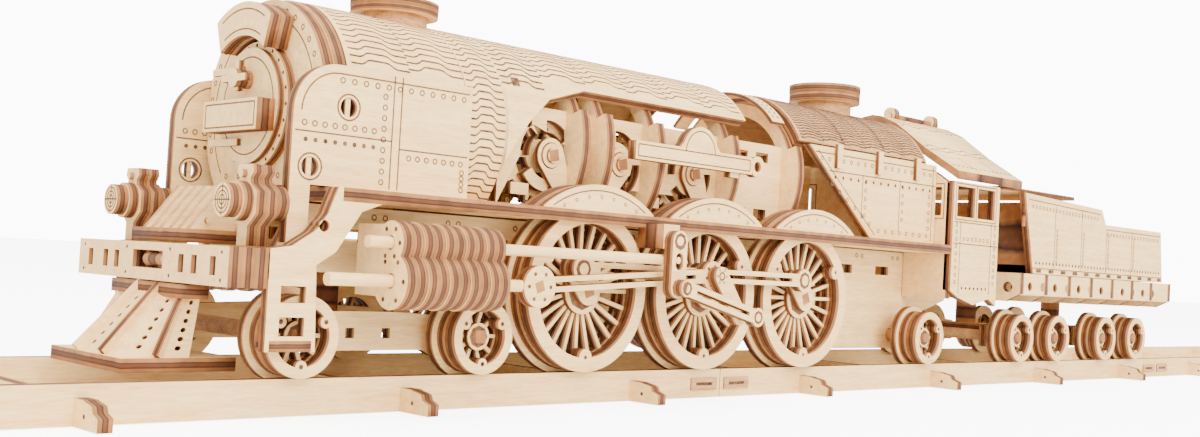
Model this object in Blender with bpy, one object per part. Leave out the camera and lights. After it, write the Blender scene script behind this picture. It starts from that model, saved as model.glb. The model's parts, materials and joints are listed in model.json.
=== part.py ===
"""A laser-cut plywood steam locomotive and its tender on a wooden track.

The locomotive's front points to -X and its left side to -Y. The track stands on Z = 0 and the origin
is under the middle of the track. Sizes are in millimetres, and MM turns them into metres.
"""
import math

import bmesh
import bpy
from mathutils import Matrix, Vector

MM = 0.001

# Sheet and fits
PLY = 3.0
GAP = 0.3
OVERLAP = 1.0  # how far two shapes of one piece run into each other before they are joined

# Track
TIE_PITCH = 75.1
TIES_PER_SECTION = 4
SECTION_NAMES = ("track_front", "track_middle", "track_rear")
RAIL_HEIGHT = 8.0
GAUGE = 53.4
TIE_TOP = 5.4
TIE_REACH = 10.8

# Wheels
DRIVER_RADIUS = 20.9
CARRIER_RADIUS = 8.9
FLANGE_DEPTH = 1.5
FLANGE_WIDTH = 2.4
FLANGE_PLAY = 0.8
AXLE_RADIUS = 2.0
DRIVER_PITCH = 46.2
MIDDLE_DRIVER_X = -161.2
LEADING_BOGIE_X = -266.2
LEADING_WHEELBASE = 49.6
TRAILING_X = -43.5
TENDER_BOGIES_X = (36.4, 108.2)
TENDER_WHEELBASE = 29.6

# Motion on each side
CRANK = 7.8
CRANK_ANGLE = {"left": 135.0, "right": 45.0}  # from +X towards +Z, a quarter turn apart
RETURN_LEAD = 165.0
RETURN_CRANK = 6.0
PIN_RADIUS = 1.6
ROD_HEIGHT = 4.4
CROSSHEAD_X = -234.0
PISTON_Z = 30.0
VALVE_Z = 38.3
LINK_X = -188.0
LINK_PIVOT_Z = 43.4
LINK_FOOT_Z = 31.0
SPINDLE_RADIUS = (PLY - 0.4) / 2  # slimmer than the sheet, so that it passes beside the link
PISTON_RADIUS = 1.4

# Locomotive body
HALF_WIDTH = 36.0
BOARD_TOP = 49.6
BOARD_FRONT = -285.2
BOARD_INNER = 21.0
WHEEL_OPENING = 17.0  # half the length of the slot over each driving wheel
BEAM_FRONT = -311.2
BEAM_DEPTH = 9.0
BEAM_BOTTOM = 27.3
BEAM_TOP = 35.6
BEAM_HOLES = (15.6, 21.4, 29.5)
STEP_WINDOWS = ((17.5, 21.5), (24.5, 28.0))
COWCATCHER_REACH = 12.6  # how far its base stands out in front of the beam
COWCATCHER_LENGTH = 25.8
COWCATCHER_HALF = 17.7
FRAME_HALF = 16.4
FRAME_REAR = -8.0
BOILER_RADIUS = 27.1
BOILER_Z = 67.2
SMOKEBOX_FRONT = -285.6
CLADDING_REAR = -136.0
RIBS_X = (-205.7, -196.8, -176.6, -144.1, -113.1)
GEAR_HUBS_X = (-213.2, -187.6, -157.3)
GEAR_HUB_Z = 63.8
GEAR_RADIUS = 12.4
DEFLECTOR_FACE = 28.8
DEFLECTOR_FRONT = -294.3
DEFLECTOR_REAR = -246.0
DEFLECTOR_TOP = 76.8
DEFLECTOR_CORNER = 11.0
DEFLECTOR_EYES = ((-280.5, 67.7), (-289.5, 53.8))
NAME_BAR_SPAN = (-191.2, -142.0)
NAME_BAR_Z = (65.0, 70.0)
NAME_PANEL_X = -165.0
NAME_PANEL_RADIUS = 7.4
DOOR_RADIUS = 15.2
DOOR_Z = 68.4
DOOR_THICKNESS = 3.8
CHIMNEY_X = -250.0
CHIMNEY_RADIUS = 11.2
CHIMNEY_HEIGHT = 5.0
DOME_X = -66.0
DOME_RADIUS = 12.4
DOME_HEIGHT = 8.4
CAB_FRONT = -37.1
CAB_REAR = -5.6
CAB_TOP = 72.2
CAB_FOOT = 31.0
CAB_WINDOWS_X = ((-34.7, -22.8), (-20.8, -8.9))
CAB_WINDOW_Z = (59.9, 70.6)
ROOF_FRONT = -36.0
ROOF_REAR = 9.5
ROOF_RISE = 22.0
CYLINDER_FRONT = -276.0
CYLINDER_REAR = -247.0

# Tender
TENDER_FRONT = 13.7
TENDER_REAR = 139.3
TENDER_FLOOR = 42.0
TENDER_TOP = 71.9
TENDER_STEP_X = 78.0
TENDER_DECK = 64.0
TENDER_PLATES = 8
TENDER_PLATE_PITCH = 19.1

# Worked out from the above
RAIL_INNER = GAUGE / 2
RAIL_OUTER = RAIL_INNER + PLY
WHEEL_FACE = RAIL_OUTER + PLY
FLANGE_FACE = RAIL_INNER - FLANGE_PLAY
DRIVER_Z = RAIL_HEIGHT + GAP + DRIVER_RADIUS
CARRIER_Z = RAIL_HEIGHT + GAP + CARRIER_RADIUS
DRIVERS_X = tuple(MIDDLE_DRIVER_X + step * DRIVER_PITCH for step in (-1, 0, 1))
SIDES = {"left": -1, "right": 1}
BOARD_BOTTOM = BOARD_TOP - PLY
FRAME_TOP = BOARD_BOTTOM - GAP
COUPLING_INNER = WHEEL_FACE + GAP
MAIN_INNER = COUPLING_INNER + PLY + GAP
RETURN_INNER = MAIN_INNER + PLY + GAP
VALVE_Y = RETURN_INNER + SPINDLE_RADIUS + GAP
CROSSHEAD_INNER = MAIN_INNER + PLY + 4 * GAP
PISTON_Y = CROSSHEAD_INNER + PLY / 2
LINK_INNER = RETURN_INNER + PLY + GAP
ECCENTRIC_INNER = LINK_INNER + PLY + GAP
BOILER_TOP = BOILER_Z + BOILER_RADIUS
DEFLECTOR_INNER = DEFLECTOR_FACE - PLY

PALE = (0.80, 0.64, 0.42)
WARM = (0.66, 0.47, 0.27)
BURNT = (0.40, 0.24, 0.12)


# ---------- shapes ----------

def arc(centre, radius, start, end, steps):
    """Points along an arc, from one angle in degrees to another."""
    angles = [math.radians(start + (end - start) * step / steps) for step in range(steps + 1)]
    return [(centre[0] + radius * math.cos(a), centre[1] + radius * math.sin(a)) for a in angles]


def circle(centre, radius, steps=16):
    return arc(centre, radius, 0, 360, steps)[:-1]


def rectangle(low, high):
    return [(low[0], low[1]), (high[0], low[1]), (high[0], high[1]), (low[0], high[1])]


def bar_with_round_ends(first, second, radii, steps=5):
    """The outline round two circles and the straight sides between them."""
    along = Vector(second) - Vector(first)
    angle = math.degrees(math.atan2(along.y, along.x))
    near = arc(first, radii[0], angle + 90, angle + 270, steps)
    far = arc(second, radii[1], angle - 90, angle + 90, steps)
    return near + far


def cleaned(mesh):
    """Joins caps to sides and points every face outwards."""
    shape = bmesh.new()
    shape.from_mesh(mesh)
    bmesh.ops.remove_doubles(shape, verts=shape.verts, dist=1e-7)
    bmesh.ops.recalc_face_normals(shape, faces=shape.faces)
    shape.to_mesh(mesh)
    shape.free()
    return mesh


PLANES = {"XZ": (0, 2, 1), "YZ": (1, 2, 0), "XY": (0, 1, 2)}


def plate(outline, low, high, plane="XZ", holes=()):
    """A flat piece of sheet: an outline with holes, between two places across its plane."""
    curve = bpy.data.curves.new("outline", "CURVE")
    curve.dimensions = "2D"
    curve.fill_mode = "BOTH"
    curve.extrude = (high - low) / 2 * MM
    for loop in (outline, *holes):
        spline = curve.splines.new("POLY")
        spline.points.add(len(loop) - 1)
        for point, (u, v) in zip(spline.points, loop):
            point.co = (u * MM, v * MM, 0, 1)
        spline.use_cyclic_u = True
    drawing = bpy.data.objects.new("outline", curve)
    mesh = bpy.data.meshes.new_from_object(drawing)
    bpy.data.objects.remove(drawing)
    bpy.data.curves.remove(curve)
    across = PLANES[plane]
    for vertex in mesh.vertices:
        flat = (vertex.co.x, vertex.co.y, vertex.co.z + (low + high) / 2 * MM)
        for axis, value in zip(across, flat):
            vertex.co[axis] = value
    return cleaned(mesh)


def box(low, high):
    return plate(rectangle(low[:2], high[:2]), low[2], high[2], "XY")


def turned(profile, centre, axis="Y", steps=20):
    """A turned solid. The profile is (place along the axis, radius), and its ends are closed flat."""
    along = "XYZ".index(axis)
    first = (along + 1) % 3
    second = (along + 2) % 3
    shape = bmesh.new()
    rings = []
    for place, radius in profile:
        ring = []
        for step in range(steps):
            angle = 2 * math.pi * step / steps
            point = Vector(centre)
            point[along] += place
            point[first] += radius * math.cos(angle)
            point[second] += radius * math.sin(angle)
            ring.append(shape.verts.new(point * MM))
        rings.append(ring)
    for one, other in zip(rings, rings[1:]):
        for step in range(steps):
            after = (step + 1) % steps
            shape.faces.new((one[step], one[after], other[after], other[step]))
    shape.faces.new(rings[0])
    shape.faces.new(rings[-1])
    mesh = bpy.data.meshes.new("turned")
    shape.to_mesh(mesh)
    shape.free()
    return cleaned(mesh)


def arch_shell(stations, outer, inner, steps=12):
    """A bent sheet round the boiler's axis. Each station is (x, lowest angle), the same on both sides."""
    shape = bmesh.new()
    rows = []
    for x, lowest in stations:
        row = []
        for radius in (outer, inner):
            points = arc((0, BOILER_Z), radius, lowest, 180 - lowest, steps)
            row.append([shape.verts.new(Vector((x, y, z)) * MM) for y, z in points])
        rows.append(row)
    for (outside, inside), (next_outside, next_inside) in zip(rows, rows[1:]):
        for step in range(steps):
            for one, other in ((outside, next_outside), (inside, next_inside)):
                shape.faces.new((one[step], one[step + 1], other[step + 1], other[step]))
        for end in (0, -1):
            shape.faces.new((outside[end], next_outside[end], next_inside[end], inside[end]))
    for outside, inside in (rows[0], rows[-1]):
        for step in range(steps):
            shape.faces.new((outside[step], outside[step + 1], inside[step + 1], inside[step]))
    mesh = bpy.data.meshes.new("sheet")
    shape.to_mesh(mesh)
    shape.free()
    return cleaned(mesh)


def turned_round(mesh, pivot, axis, degrees):
    """A shape turned about an upright or level axis through a point in millimetres."""
    place = Vector(pivot) * MM
    turn = Matrix.Rotation(math.radians(degrees), 4, axis)
    mesh.transform(Matrix.Translation(place) @ turn @ Matrix.Translation(-place))
    return mesh


def joined(meshes):
    """One solid from shapes that run into each other."""
    if len(meshes) == 1:
        return meshes[0]
    extras = bpy.data.collections.new("extras")
    base = bpy.data.objects.new("base", meshes[0])
    bpy.context.scene.collection.objects.link(base)
    for mesh in meshes[1:]:
        extras.objects.link(bpy.data.objects.new("extra", mesh))
    bpy.context.scene.collection.children.link(extras)
    union = base.modifiers.new("union", "BOOLEAN")
    union.operation = "UNION"
    union.solver = "EXACT"
    union.operand_type = "COLLECTION"
    union.collection = extras
    graph = bpy.context.evaluated_depsgraph_get()
    mesh = bpy.data.meshes.new_from_object(base.evaluated_get(graph))
    for scrap in [base, *extras.objects]:
        bpy.data.objects.remove(scrap)
    bpy.data.collections.remove(extras)
    return mesh


def combined(mesh, other, operation):
    """A shape less another (DIFFERENCE), or the part of it inside another (INTERSECT)."""
    base = bpy.data.objects.new("base", mesh)
    tool = bpy.data.objects.new("tool", other.copy())
    for item in (base, tool):
        bpy.context.scene.collection.objects.link(item)
    change = base.modifiers.new("change", "BOOLEAN")
    change.operation = operation
    change.solver = "EXACT"
    change.object = tool
    graph = bpy.context.evaluated_depsgraph_get()
    result = bpy.data.meshes.new_from_object(base.evaluated_get(graph))
    for scrap in (base, tool):
        bpy.data.objects.remove(scrap)
    return result


MATERIALS = {}


def wood(colour):
    """Plywood of one tone: pale faces, warm stacks or burnt, slotted sheet."""
    if colour not in MATERIALS:
        material = bpy.data.materials.new("plywood")
        material.use_nodes = True
        shader = material.node_tree.nodes["Principled BSDF"]
        shader.inputs["Base Color"].default_value = (*colour, 1)
        shader.inputs["Roughness"].default_value = 0.7
        shader.inputs["Metallic"].default_value = 0.0
        MATERIALS[colour] = material
    return MATERIALS[colour]


def piece(name, shapes, colour=PALE, origin=(0, 0, 0)):
    """One named piece. Its origin is put on the joint's axis when it moves."""
    mesh = joined(shapes)
    place = Vector(origin) * MM
    mesh.transform(Matrix.Translation(-place))
    mesh.name = name
    mesh.materials.clear()
    mesh.materials.append(wood(colour))
    item = bpy.data.objects.new(name, mesh)
    item.location = place
    bpy.context.scene.collection.objects.link(item)
    return item


def span(side, inner, outer):
    """The low and high places across the track of a layer on one side."""
    low, high = sorted((SIDES[side] * inner, SIDES[side] * outer))
    return low, high


# ---------- track ----------

def track_section(name, index):
    """Two rails on cross ties whose feet stand out on both sides."""
    length = TIE_PITCH * TIES_PER_SECTION
    start = (index - len(SECTION_NAMES) / 2) * length + GAP / 2
    end = start + length - GAP
    shapes = []
    for side in SIDES:
        low, high = span(side, RAIL_INNER, RAIL_OUTER)
        shapes.append(box((start, low, 0), (end, high, RAIL_HEIGHT)))
    half = RAIL_OUTER + TIE_REACH
    shoulder = RAIL_OUTER + PLY
    outline = [(-half, 0), (half, 0), (half, PLY), (shoulder, TIE_TOP), (-shoulder, TIE_TOP), (-half, PLY)]
    for tie in range(TIES_PER_SECTION):
        x = start + (tie + 0.5) * TIE_PITCH
        shapes.append(plate(outline, x, x + PLY, "YZ"))
    piece(name, shapes)


# ---------- wheels and rods ----------

def wheel_profile(radius):
    """Both wheels of one axle in one profile, from the left face to the right face."""
    inner = FLANGE_FACE - FLANGE_WIDTH
    side = [(WHEEL_FACE, radius), (FLANGE_FACE, radius), (FLANGE_FACE, radius + FLANGE_DEPTH)]
    side += [(inner, radius + FLANGE_DEPTH), (inner, AXLE_RADIUS)]
    return [(-place, size) for place, size in side] + side[::-1]


def carrier_wheels(name, x):
    axle = (x, 0, CARRIER_Z)
    piece(name, [turned(wheel_profile(CARRIER_RADIUS), axle, steps=18)], origin=axle)


def on_circle(x, radius, angle):
    """A place in a driver's plane, at an angle from +X towards +Z."""
    turn = math.radians(angle)
    return (x + radius * math.cos(turn), DRIVER_Z + radius * math.sin(turn))


def crank_pin(x, side):
    return on_circle(x, CRANK, CRANK_ANGLE[side])


def return_pin(side):
    return on_circle(MIDDLE_DRIVER_X, RETURN_CRANK, CRANK_ANGLE[side] + RETURN_LEAD)


def pin(centre, side, inner, outer, radius=PIN_RADIUS):
    low, high = span(side, inner, outer)
    return turned([(low, radius), (high, radius)], (centre[0], 0, centre[1]), steps=10)


def driving_wheels(name, x):
    """Two driving wheels with their crank pins. The middle pair also carries the return cranks."""
    axle = (x, 0, DRIVER_Z)
    shapes = [turned(wheel_profile(DRIVER_RADIUS), axle, steps=30)]
    middle = x == MIDDLE_DRIVER_X
    for side in SIDES:
        end = RETURN_INNER + OVERLAP if middle else COUPLING_INNER + PLY
        shapes.append(pin(crank_pin(x, side), side, WHEEL_FACE - OVERLAP, end))
        if middle:
            arm = bar_with_round_ends(crank_pin(x, side), return_pin(side), (2.6, 2.6))
            shapes.append(plate(arm, *span(side, RETURN_INNER, RETURN_INNER + PLY)))
            reach = ECCENTRIC_INNER + PLY
            shapes.append(pin(return_pin(side), side, RETURN_INNER + OVERLAP, reach, SPINDLE_RADIUS))
    piece(name, shapes, origin=axle)


def crosshead_pin(side):
    """Where the main rod's front end lies: the piston's height, one rod length ahead of the crank pin."""
    x, z = crank_pin(MIDDLE_DRIVER_X, "left")
    length = math.hypot(x - CROSSHEAD_X, z - PISTON_Z)
    x, z = crank_pin(MIDDLE_DRIVER_X, side)
    return (x - math.sqrt(length ** 2 - (z - PISTON_Z) ** 2), PISTON_Z)


def coupling_rod(side):
    pins = [crank_pin(x, side) for x in DRIVERS_X]
    low, high = span(side, COUPLING_INNER, COUPLING_INNER + PLY)
    holes = [circle(place, PIN_RADIUS + GAP, 10) for place in pins]
    shapes = []
    for first, second, hole in ((pins[0], pins[1], holes[0]), (pins[1], pins[2], holes[2])):
        outline = bar_with_round_ends(first, second, (3.4, 3.4))
        shapes.append(plate(outline, low, high, holes=(hole, holes[1])))
    x, z = pins[1]
    piece(f"coupling_rod_{side}", shapes, WARM, (x, 0, z))


def main_rod(side):
    big = crank_pin(MIDDLE_DRIVER_X, side)
    small = crosshead_pin(side)
    low, high = span(side, MAIN_INNER, MAIN_INNER + PLY)
    outline = bar_with_round_ends(big, small, (4.0, 2.6))
    rod = plate(outline, low, high, holes=(circle(big, PIN_RADIUS + GAP, 10),))
    piece(f"main_rod_{side}", [rod], WARM, (big[0], 0, big[1]))


def crosshead(side):
    """The crosshead disc with its piston rod, which runs right through the cylinder."""
    x, z = crosshead_pin(side)
    disc = plate(circle((x, z), 5.0, 14), *span(side, CROSSHEAD_INNER, CROSSHEAD_INNER + PLY))
    front = CYLINDER_FRONT - 16.0 - x
    axis = (x, SIDES[side] * PISTON_Y, z)
    rod = turned([(front, PISTON_RADIUS), (0, PISTON_RADIUS)], axis, "X", 10)
    piece(f"crosshead_{side}", [disc, rod], WARM, axis)


def valve_link(side):
    """The swinging link. It hangs from a bracket under the running board and has a slot for the valve rod."""
    pivot = (LINK_X, LINK_PIVOT_Z)
    foot = (LINK_X, LINK_FOOT_Z)
    slot = bar_with_round_ends((LINK_X, VALVE_Z - 1.2), (LINK_X, VALVE_Z + 0.6), (1.4, 1.4), 5)
    outline = bar_with_round_ends(foot, pivot, (2.8, 2.8))
    holes = (slot, circle(pivot, SPINDLE_RADIUS + GAP, 10), circle(foot, SPINDLE_RADIUS, 10))
    link = plate(outline, *span(side, LINK_INNER, LINK_INNER + PLY), holes=holes)
    piece(f"valve_link_{side}", [link], WARM, (LINK_X, 0, LINK_PIVOT_Z))


def valve_rod(side):
    axis = (LINK_X, SIDES[side] * VALVE_Y, VALVE_Z)
    front = CYLINDER_FRONT - 6.0 - LINK_X
    rod = turned([(front, SPINDLE_RADIUS), (2.0, SPINDLE_RADIUS)], axis, "X", 10)
    stub = pin((LINK_X, VALVE_Z), side, VALVE_Y, LINK_INNER + PLY - GAP, 0.9)
    piece(f"valve_rod_{side}", [rod, stub], WARM, axis)


def eccentric_rod(side):
    back = return_pin(side)
    front = (LINK_X, LINK_FOOT_Z)
    outline = bar_with_round_ends(back, front, (2.6, 2.2))
    low, high = span(side, ECCENTRIC_INNER, ECCENTRIC_INNER + PLY)
    rod = plate(outline, low, high, holes=(circle(back, SPINDLE_RADIUS + GAP, 10),))
    piece(f"eccentric_rod_{side}", [rod], WARM, (back[0], 0, back[1]))


# ---------- bogies ----------

def bogie(name, x, wheelbase, pivot_top):
    """Two frame plates and a bolster whose pin turns under the frame above."""
    inner = FRAME_HALF + GAP + 0.8
    top = CARRIER_Z + 5.0
    shapes = []
    axles = [(x - wheelbase / 2, CARRIER_Z), (x + wheelbase / 2, CARRIER_Z)]
    holes = [circle(place, AXLE_RADIUS + GAP, 10) for place in axles]
    reach = wheelbase / 2 + 5.0
    outline = [(x - reach, CARRIER_Z - 4), (x + reach, CARRIER_Z - 4), (x + reach, CARRIER_Z + 4)]
    outline += [(x + 7, top), (x - 7, top), (x - reach, CARRIER_Z + 4)]
    for side in SIDES:
        shapes.append(plate(outline, *span(side, inner, inner + PLY), holes=holes))
    across = inner + PLY / 2
    shapes.append(box((x - 6, -across, top - 1 - PLY), (x + 6, across, top - 1)))
    pin_shape = [(top - 1 - PLY / 2, 4.0), (pivot_top - GAP, 4.0)]
    shapes.append(turned(pin_shape, (x, 0, 0), "Z", 16))
    piece(name, shapes, WARM, (x, 0, CARRIER_Z))


# ---------- locomotive ----------

def main_frame():
    """Two long plates with axle holes, tied together by cross plates."""
    front = BEAM_FRONT + BEAM_DEPTH + GAP
    deck = BEAM_TOP - PLY / 3
    rise = BOARD_FRONT + 1.0
    outline = [(front, BEAM_BOTTOM + 3.5), (front, deck), (rise - 6, deck), (rise, FRAME_TOP)]
    outline += [(FRAME_REAR, FRAME_TOP), (FRAME_REAR, 30.0), (TRAILING_X + 14, 24.0)]
    outline += [(TRAILING_X + 12, 12.5), (TRAILING_X - 42, 12.5), (TRAILING_X - 48, 20.0)]
    outline += [(DRIVERS_X[0] - 12, 20.0), (DRIVERS_X[0] - 24, BEAM_BOTTOM + 3.5)]
    holes = [circle((x, DRIVER_Z), AXLE_RADIUS + GAP, 10) for x in DRIVERS_X]
    holes.append(circle((TRAILING_X, CARRIER_Z), AXLE_RADIUS + GAP, 10))
    shapes = []
    for side in SIDES:
        shapes.append(plate(outline, *span(side, FRAME_HALF - PLY, FRAME_HALF), holes=holes))
    across = FRAME_HALF - PLY + OVERLAP
    crossings = [LEADING_BOGIE_X + 20, CAB_FRONT - 18, FRAME_REAR - 8]
    crossings += [x + DRIVER_PITCH / 2 for x in DRIVERS_X]
    for x in crossings:
        shapes.append(box((x, -across, 33.0), (x + PLY, across, FRAME_TOP - 4)))
    bolster = BEAM_BOTTOM + 3.5
    shapes.append(box((LEADING_BOGIE_X - 8, -across, bolster), (LEADING_BOGIE_X + 8, across, bolster + PLY)))
    piece("main_frame", shapes)


def buffer_beam():
    outline = rectangle((-HALF_WIDTH, BEAM_BOTTOM), (HALF_WIDTH, BEAM_TOP))
    holes = []
    for side in SIDES.values():
        for place in BEAM_HOLES:
            y = side * place
            holes.append(rectangle((y - 1.2, BEAM_BOTTOM + 2.0), (y + 1.2, BEAM_TOP - 2.0)))
    piece("buffer_beam", [plate(outline, BEAM_FRONT, BEAM_FRONT + BEAM_DEPTH, "YZ", holes)])


def cowcatcher():
    """A low pointed plate with upright ribs that fan out from under the buffer beam."""
    bottom = RAIL_HEIGHT + 2 * GAP
    front = BEAM_FRONT - COWCATCHER_REACH
    rear = BEAM_FRONT + 2 * PLY
    half = COWCATCHER_HALF
    shapes = [box((front, -half, bottom), (front + COWCATCHER_LENGTH, half, bottom + PLY))]
    top = BEAM_BOTTOM - GAP
    shapes.append(box((BEAM_FRONT, -half, top - PLY), (rear - 1, half, top)))
    hub = (BEAM_FRONT + 14, 0, 0)
    for angle in range(-54, 55, 18):
        lean = abs(angle) / 54
        reach = (26 - 3 * lean, 16 + 4 * lean)
        rib = [(hub[0] - reach[0], bottom + OVERLAP), (rear - 1.5, bottom + OVERLAP)]
        rib += [(rear - 1.5, top - 0.5), (hub[0] - reach[1], top - 0.5)]
        shape = plate(rib, -PLY / 2, PLY / 2)
        shapes.append(turned_round(shape, hub, "Z", angle))
    trim = box((front, -half, bottom), (rear, half, top))
    ribs = [combined(rib, trim, "INTERSECT") for rib in shapes[2:]]
    piece("cowcatcher", [*shapes[:2], *ribs], WARM)


def front_grille():
    """Slats that climb from the buffer beam to the smokebox, on a short deck."""
    front = BEAM_FRONT + 2.0
    deck = BEAM_TOP + GAP
    rear = DEFLECTOR_FRONT - 1.0
    shapes = [box((front, -13.0, deck), (rear + 2, 13.0, deck + PLY))]
    slat = [(front, deck + 1), (rear, deck + 1), (rear + 2, deck + 13), (rear - 2, deck + 13)]
    for place in (-11.0, -5.5, 0.0, 5.5, 11.0):
        shapes.append(plate(slat, place - PLY / 2, place + PLY / 2))
    piece("front_grille", shapes, WARM)


def running_board(side):
    """The long board with its curved front end, step bracket, splashers and link bracket."""
    low, high = span(side, BOARD_INNER, HALF_WIDTH)
    rear = CAB_FRONT - GAP
    openings = []
    for x in DRIVERS_X:
        edges = span(side, FLANGE_FACE - FLANGE_WIDTH - 3 * GAP, WHEEL_FACE + 2 * GAP)
        openings.append(rectangle((x - WHEEL_OPENING, edges[0]), (x + WHEEL_OPENING, edges[1])))
    board = rectangle((BOARD_FRONT, low), (rear, high))
    shapes = [plate(board, BOARD_BOTTOM, BOARD_TOP, "XY", openings)]
    front = BEAM_FRONT + BEAM_DEPTH + GAP
    curve = [(front, BEAM_TOP), (front + 5, BEAM_TOP + 0.8), (front + 10, BEAM_TOP + 4)]
    curve += [(BOARD_FRONT - 3.5, BOARD_TOP - 6), (BOARD_FRONT - 2, BOARD_TOP), (BOARD_FRONT + 10, BOARD_TOP)]
    curve += [(BOARD_FRONT + 10, BOARD_BOTTOM), (BOARD_FRONT + 5, BOARD_TOP - 5)]
    curve += [(BOARD_FRONT - 1, BEAM_TOP), (front + 9, BEAM_BOTTOM + 4), (front, BEAM_BOTTOM + 2)]
    shapes.append(plate(curve, *span(side, HALF_WIDTH - 1.5 * PLY, HALF_WIDTH)))
    step = [(front, 14.3), (front + 12, 14.3), (front + 11, BEAM_TOP - 1), (front, BEAM_TOP - 1)]
    windows = [rectangle((front + 3, low_z), (front + 9, high_z)) for low_z, high_z in STEP_WINDOWS]
    step_inner = WHEEL_FACE + GAP + 0.5
    shapes.append(plate(step, *span(side, step_inner, HALF_WIDTH), holes=windows))
    arch_z = BOARD_TOP - 25.6
    for x in DRIVERS_X:
        arch = arc((x, arch_z), 32.5, 127, 53, 8)
        foot = [(arch[-1][0], BOARD_TOP - OVERLAP), (arch[0][0], BOARD_TOP - OVERLAP)]
        shapes.append(plate(arch + foot, *span(side, WHEEL_FACE + 2 * GAP, HALF_WIDTH - 0.5)))
        cover = arch + foot[:1] + arc((x, arch_z), 29.5, 56.5, 123.5, 8) + foot[1:]
        shapes.append(plate(cover, *span(side, HALF_WIDTH - 3 * PLY, HALF_WIDTH - PLY / 2)))
    hanger = rectangle((LINK_X - 3, LINK_PIVOT_Z - 2.2), (LINK_X + 3, BOARD_BOTTOM + OVERLAP))
    shapes.append(plate(hanger, *span(side, HALF_WIDTH - PLY, LINK_INNER - GAP)))
    end = LINK_INNER + PLY
    shapes.append(pin((LINK_X, LINK_PIVOT_Z), side, HALF_WIDTH, end, SPINDLE_RADIUS))
    piece(f"running_board_{side}", shapes)


def smoke_deflector(side):
    """The tall wind plate beside the smokebox, standing on the running board."""
    corner = DEFLECTOR_CORNER
    foot = BOARD_TOP + GAP
    outline = [(DEFLECTOR_REAR, foot), (DEFLECTOR_REAR, DEFLECTOR_TOP)]
    outline += arc((DEFLECTOR_FRONT + corner, DEFLECTOR_TOP - corner), corner, 90, 180, 6)
    outline += [(DEFLECTOR_FRONT, 37.0), (BOARD_FRONT - 4, 37.0), (BOARD_FRONT - 4, foot)]
    holes = [circle(eye, 2.0, 12) for eye in DEFLECTOR_EYES]
    shape = plate(outline, *span(side, DEFLECTOR_INNER, DEFLECTOR_FACE), holes=holes)
    piece(f"smoke_deflector_{side}", [shape])


def lantern(side):
    """A stack of discs on a post, with an upright plate behind."""
    y = SIDES[side] * 26.7
    front = BEAM_FRONT + 2.6
    body = turned([(0, 4.0), (2, 4.4), (11, 4.4), (14, 3.4)], (front, y, 45.2), "X", 14)
    post = box((front + 5, y - 1.5, BEAM_TOP + GAP), (front + 8, y + 1.5, 43.0))
    hanger = box((front + 9, y - 1.5, 46.0), (front + 12, y + 1.5, 53.0))
    piece(f"lantern_{side}", [body, post, hanger], WARM)


def smokebox_front():
    """The round front plate, flattened where the deflectors stand beside it."""
    limit = DEFLECTOR_INNER - GAP
    lowest = math.degrees(math.asin((BOARD_TOP + GAP - BOILER_Z) / BOILER_RADIUS))
    rim = arc((0, BOILER_Z), BOILER_RADIUS, lowest, 180 - lowest, 28)
    outline = [(max(-limit, min(limit, y)), z) for y, z in rim]
    piece("smokebox_front", [plate(outline, SMOKEBOX_FRONT, SMOKEBOX_FRONT + 2 * PLY, "YZ")])


def headboard():
    """A crescent plate above the smokebox door."""
    notch = DOOR_RADIUS + 3 * GAP
    lower = arc((0, DOOR_Z), notch, 128, 52, 12)
    upper = arc((0, DOOR_Z + 3.0), 21.0, 54, 126, 12)
    piece("headboard", [plate(lower + upper, SMOKEBOX_FRONT - GAP - 2 * PLY, SMOKEBOX_FRONT - GAP, "YZ")])


def smokebox_door():
    """The round door with a blank plate block and a latch handle."""
    back = SMOKEBOX_FRONT - GAP
    face = back - DOOR_THICKNESS
    hinge = (face, DOOR_RADIUS + 1.3, DOOR_Z)
    disc = turned([(face, DOOR_RADIUS - 0.8), (back, DOOR_RADIUS)], (0, 0, DOOR_Z), "X", 24)
    block = box((face - 4.3, -12.3, 62.1), (face + OVERLAP, 12.3, 69.3))
    latch = box((face - 4.0, -1.5, 71.5), (face + OVERLAP, 1.5, 77.5))
    arm = box((face - 4.0, -5.5, 73.0), (face - 2.0, 5.5, 75.5))
    piece("smokebox_door", [disc, block, latch, arm], origin=hinge)


def boiler_cladding():
    """The slotted bent sheet over the boiler, cut away at the sides to show the gears."""
    beside = math.degrees(math.acos((DEFLECTOR_INNER - GAP) / BOILER_RADIUS))
    board = math.degrees(math.asin((BOARD_TOP + GAP - BOILER_Z) / (BOILER_RADIUS - PLY)))
    front = SMOKEBOX_FRONT + 2 * PLY + GAP
    opening = RIBS_X[0] - 28.0
    stations = [(front, beside), (DEFLECTOR_REAR + GAP, beside), (DEFLECTOR_REAR + 2 * GAP, board)]
    stations += [(opening, board), (opening + 1, -15.0), (opening + 8, 8.0), (opening + 16, 23.0)]
    stations += [(opening + 30, 33.0), (CLADDING_REAR, 33.0)]
    shell = arch_shell(stations, BOILER_RADIUS, BOILER_RADIUS - PLY)
    piece("boiler_cladding", [shell])


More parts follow.
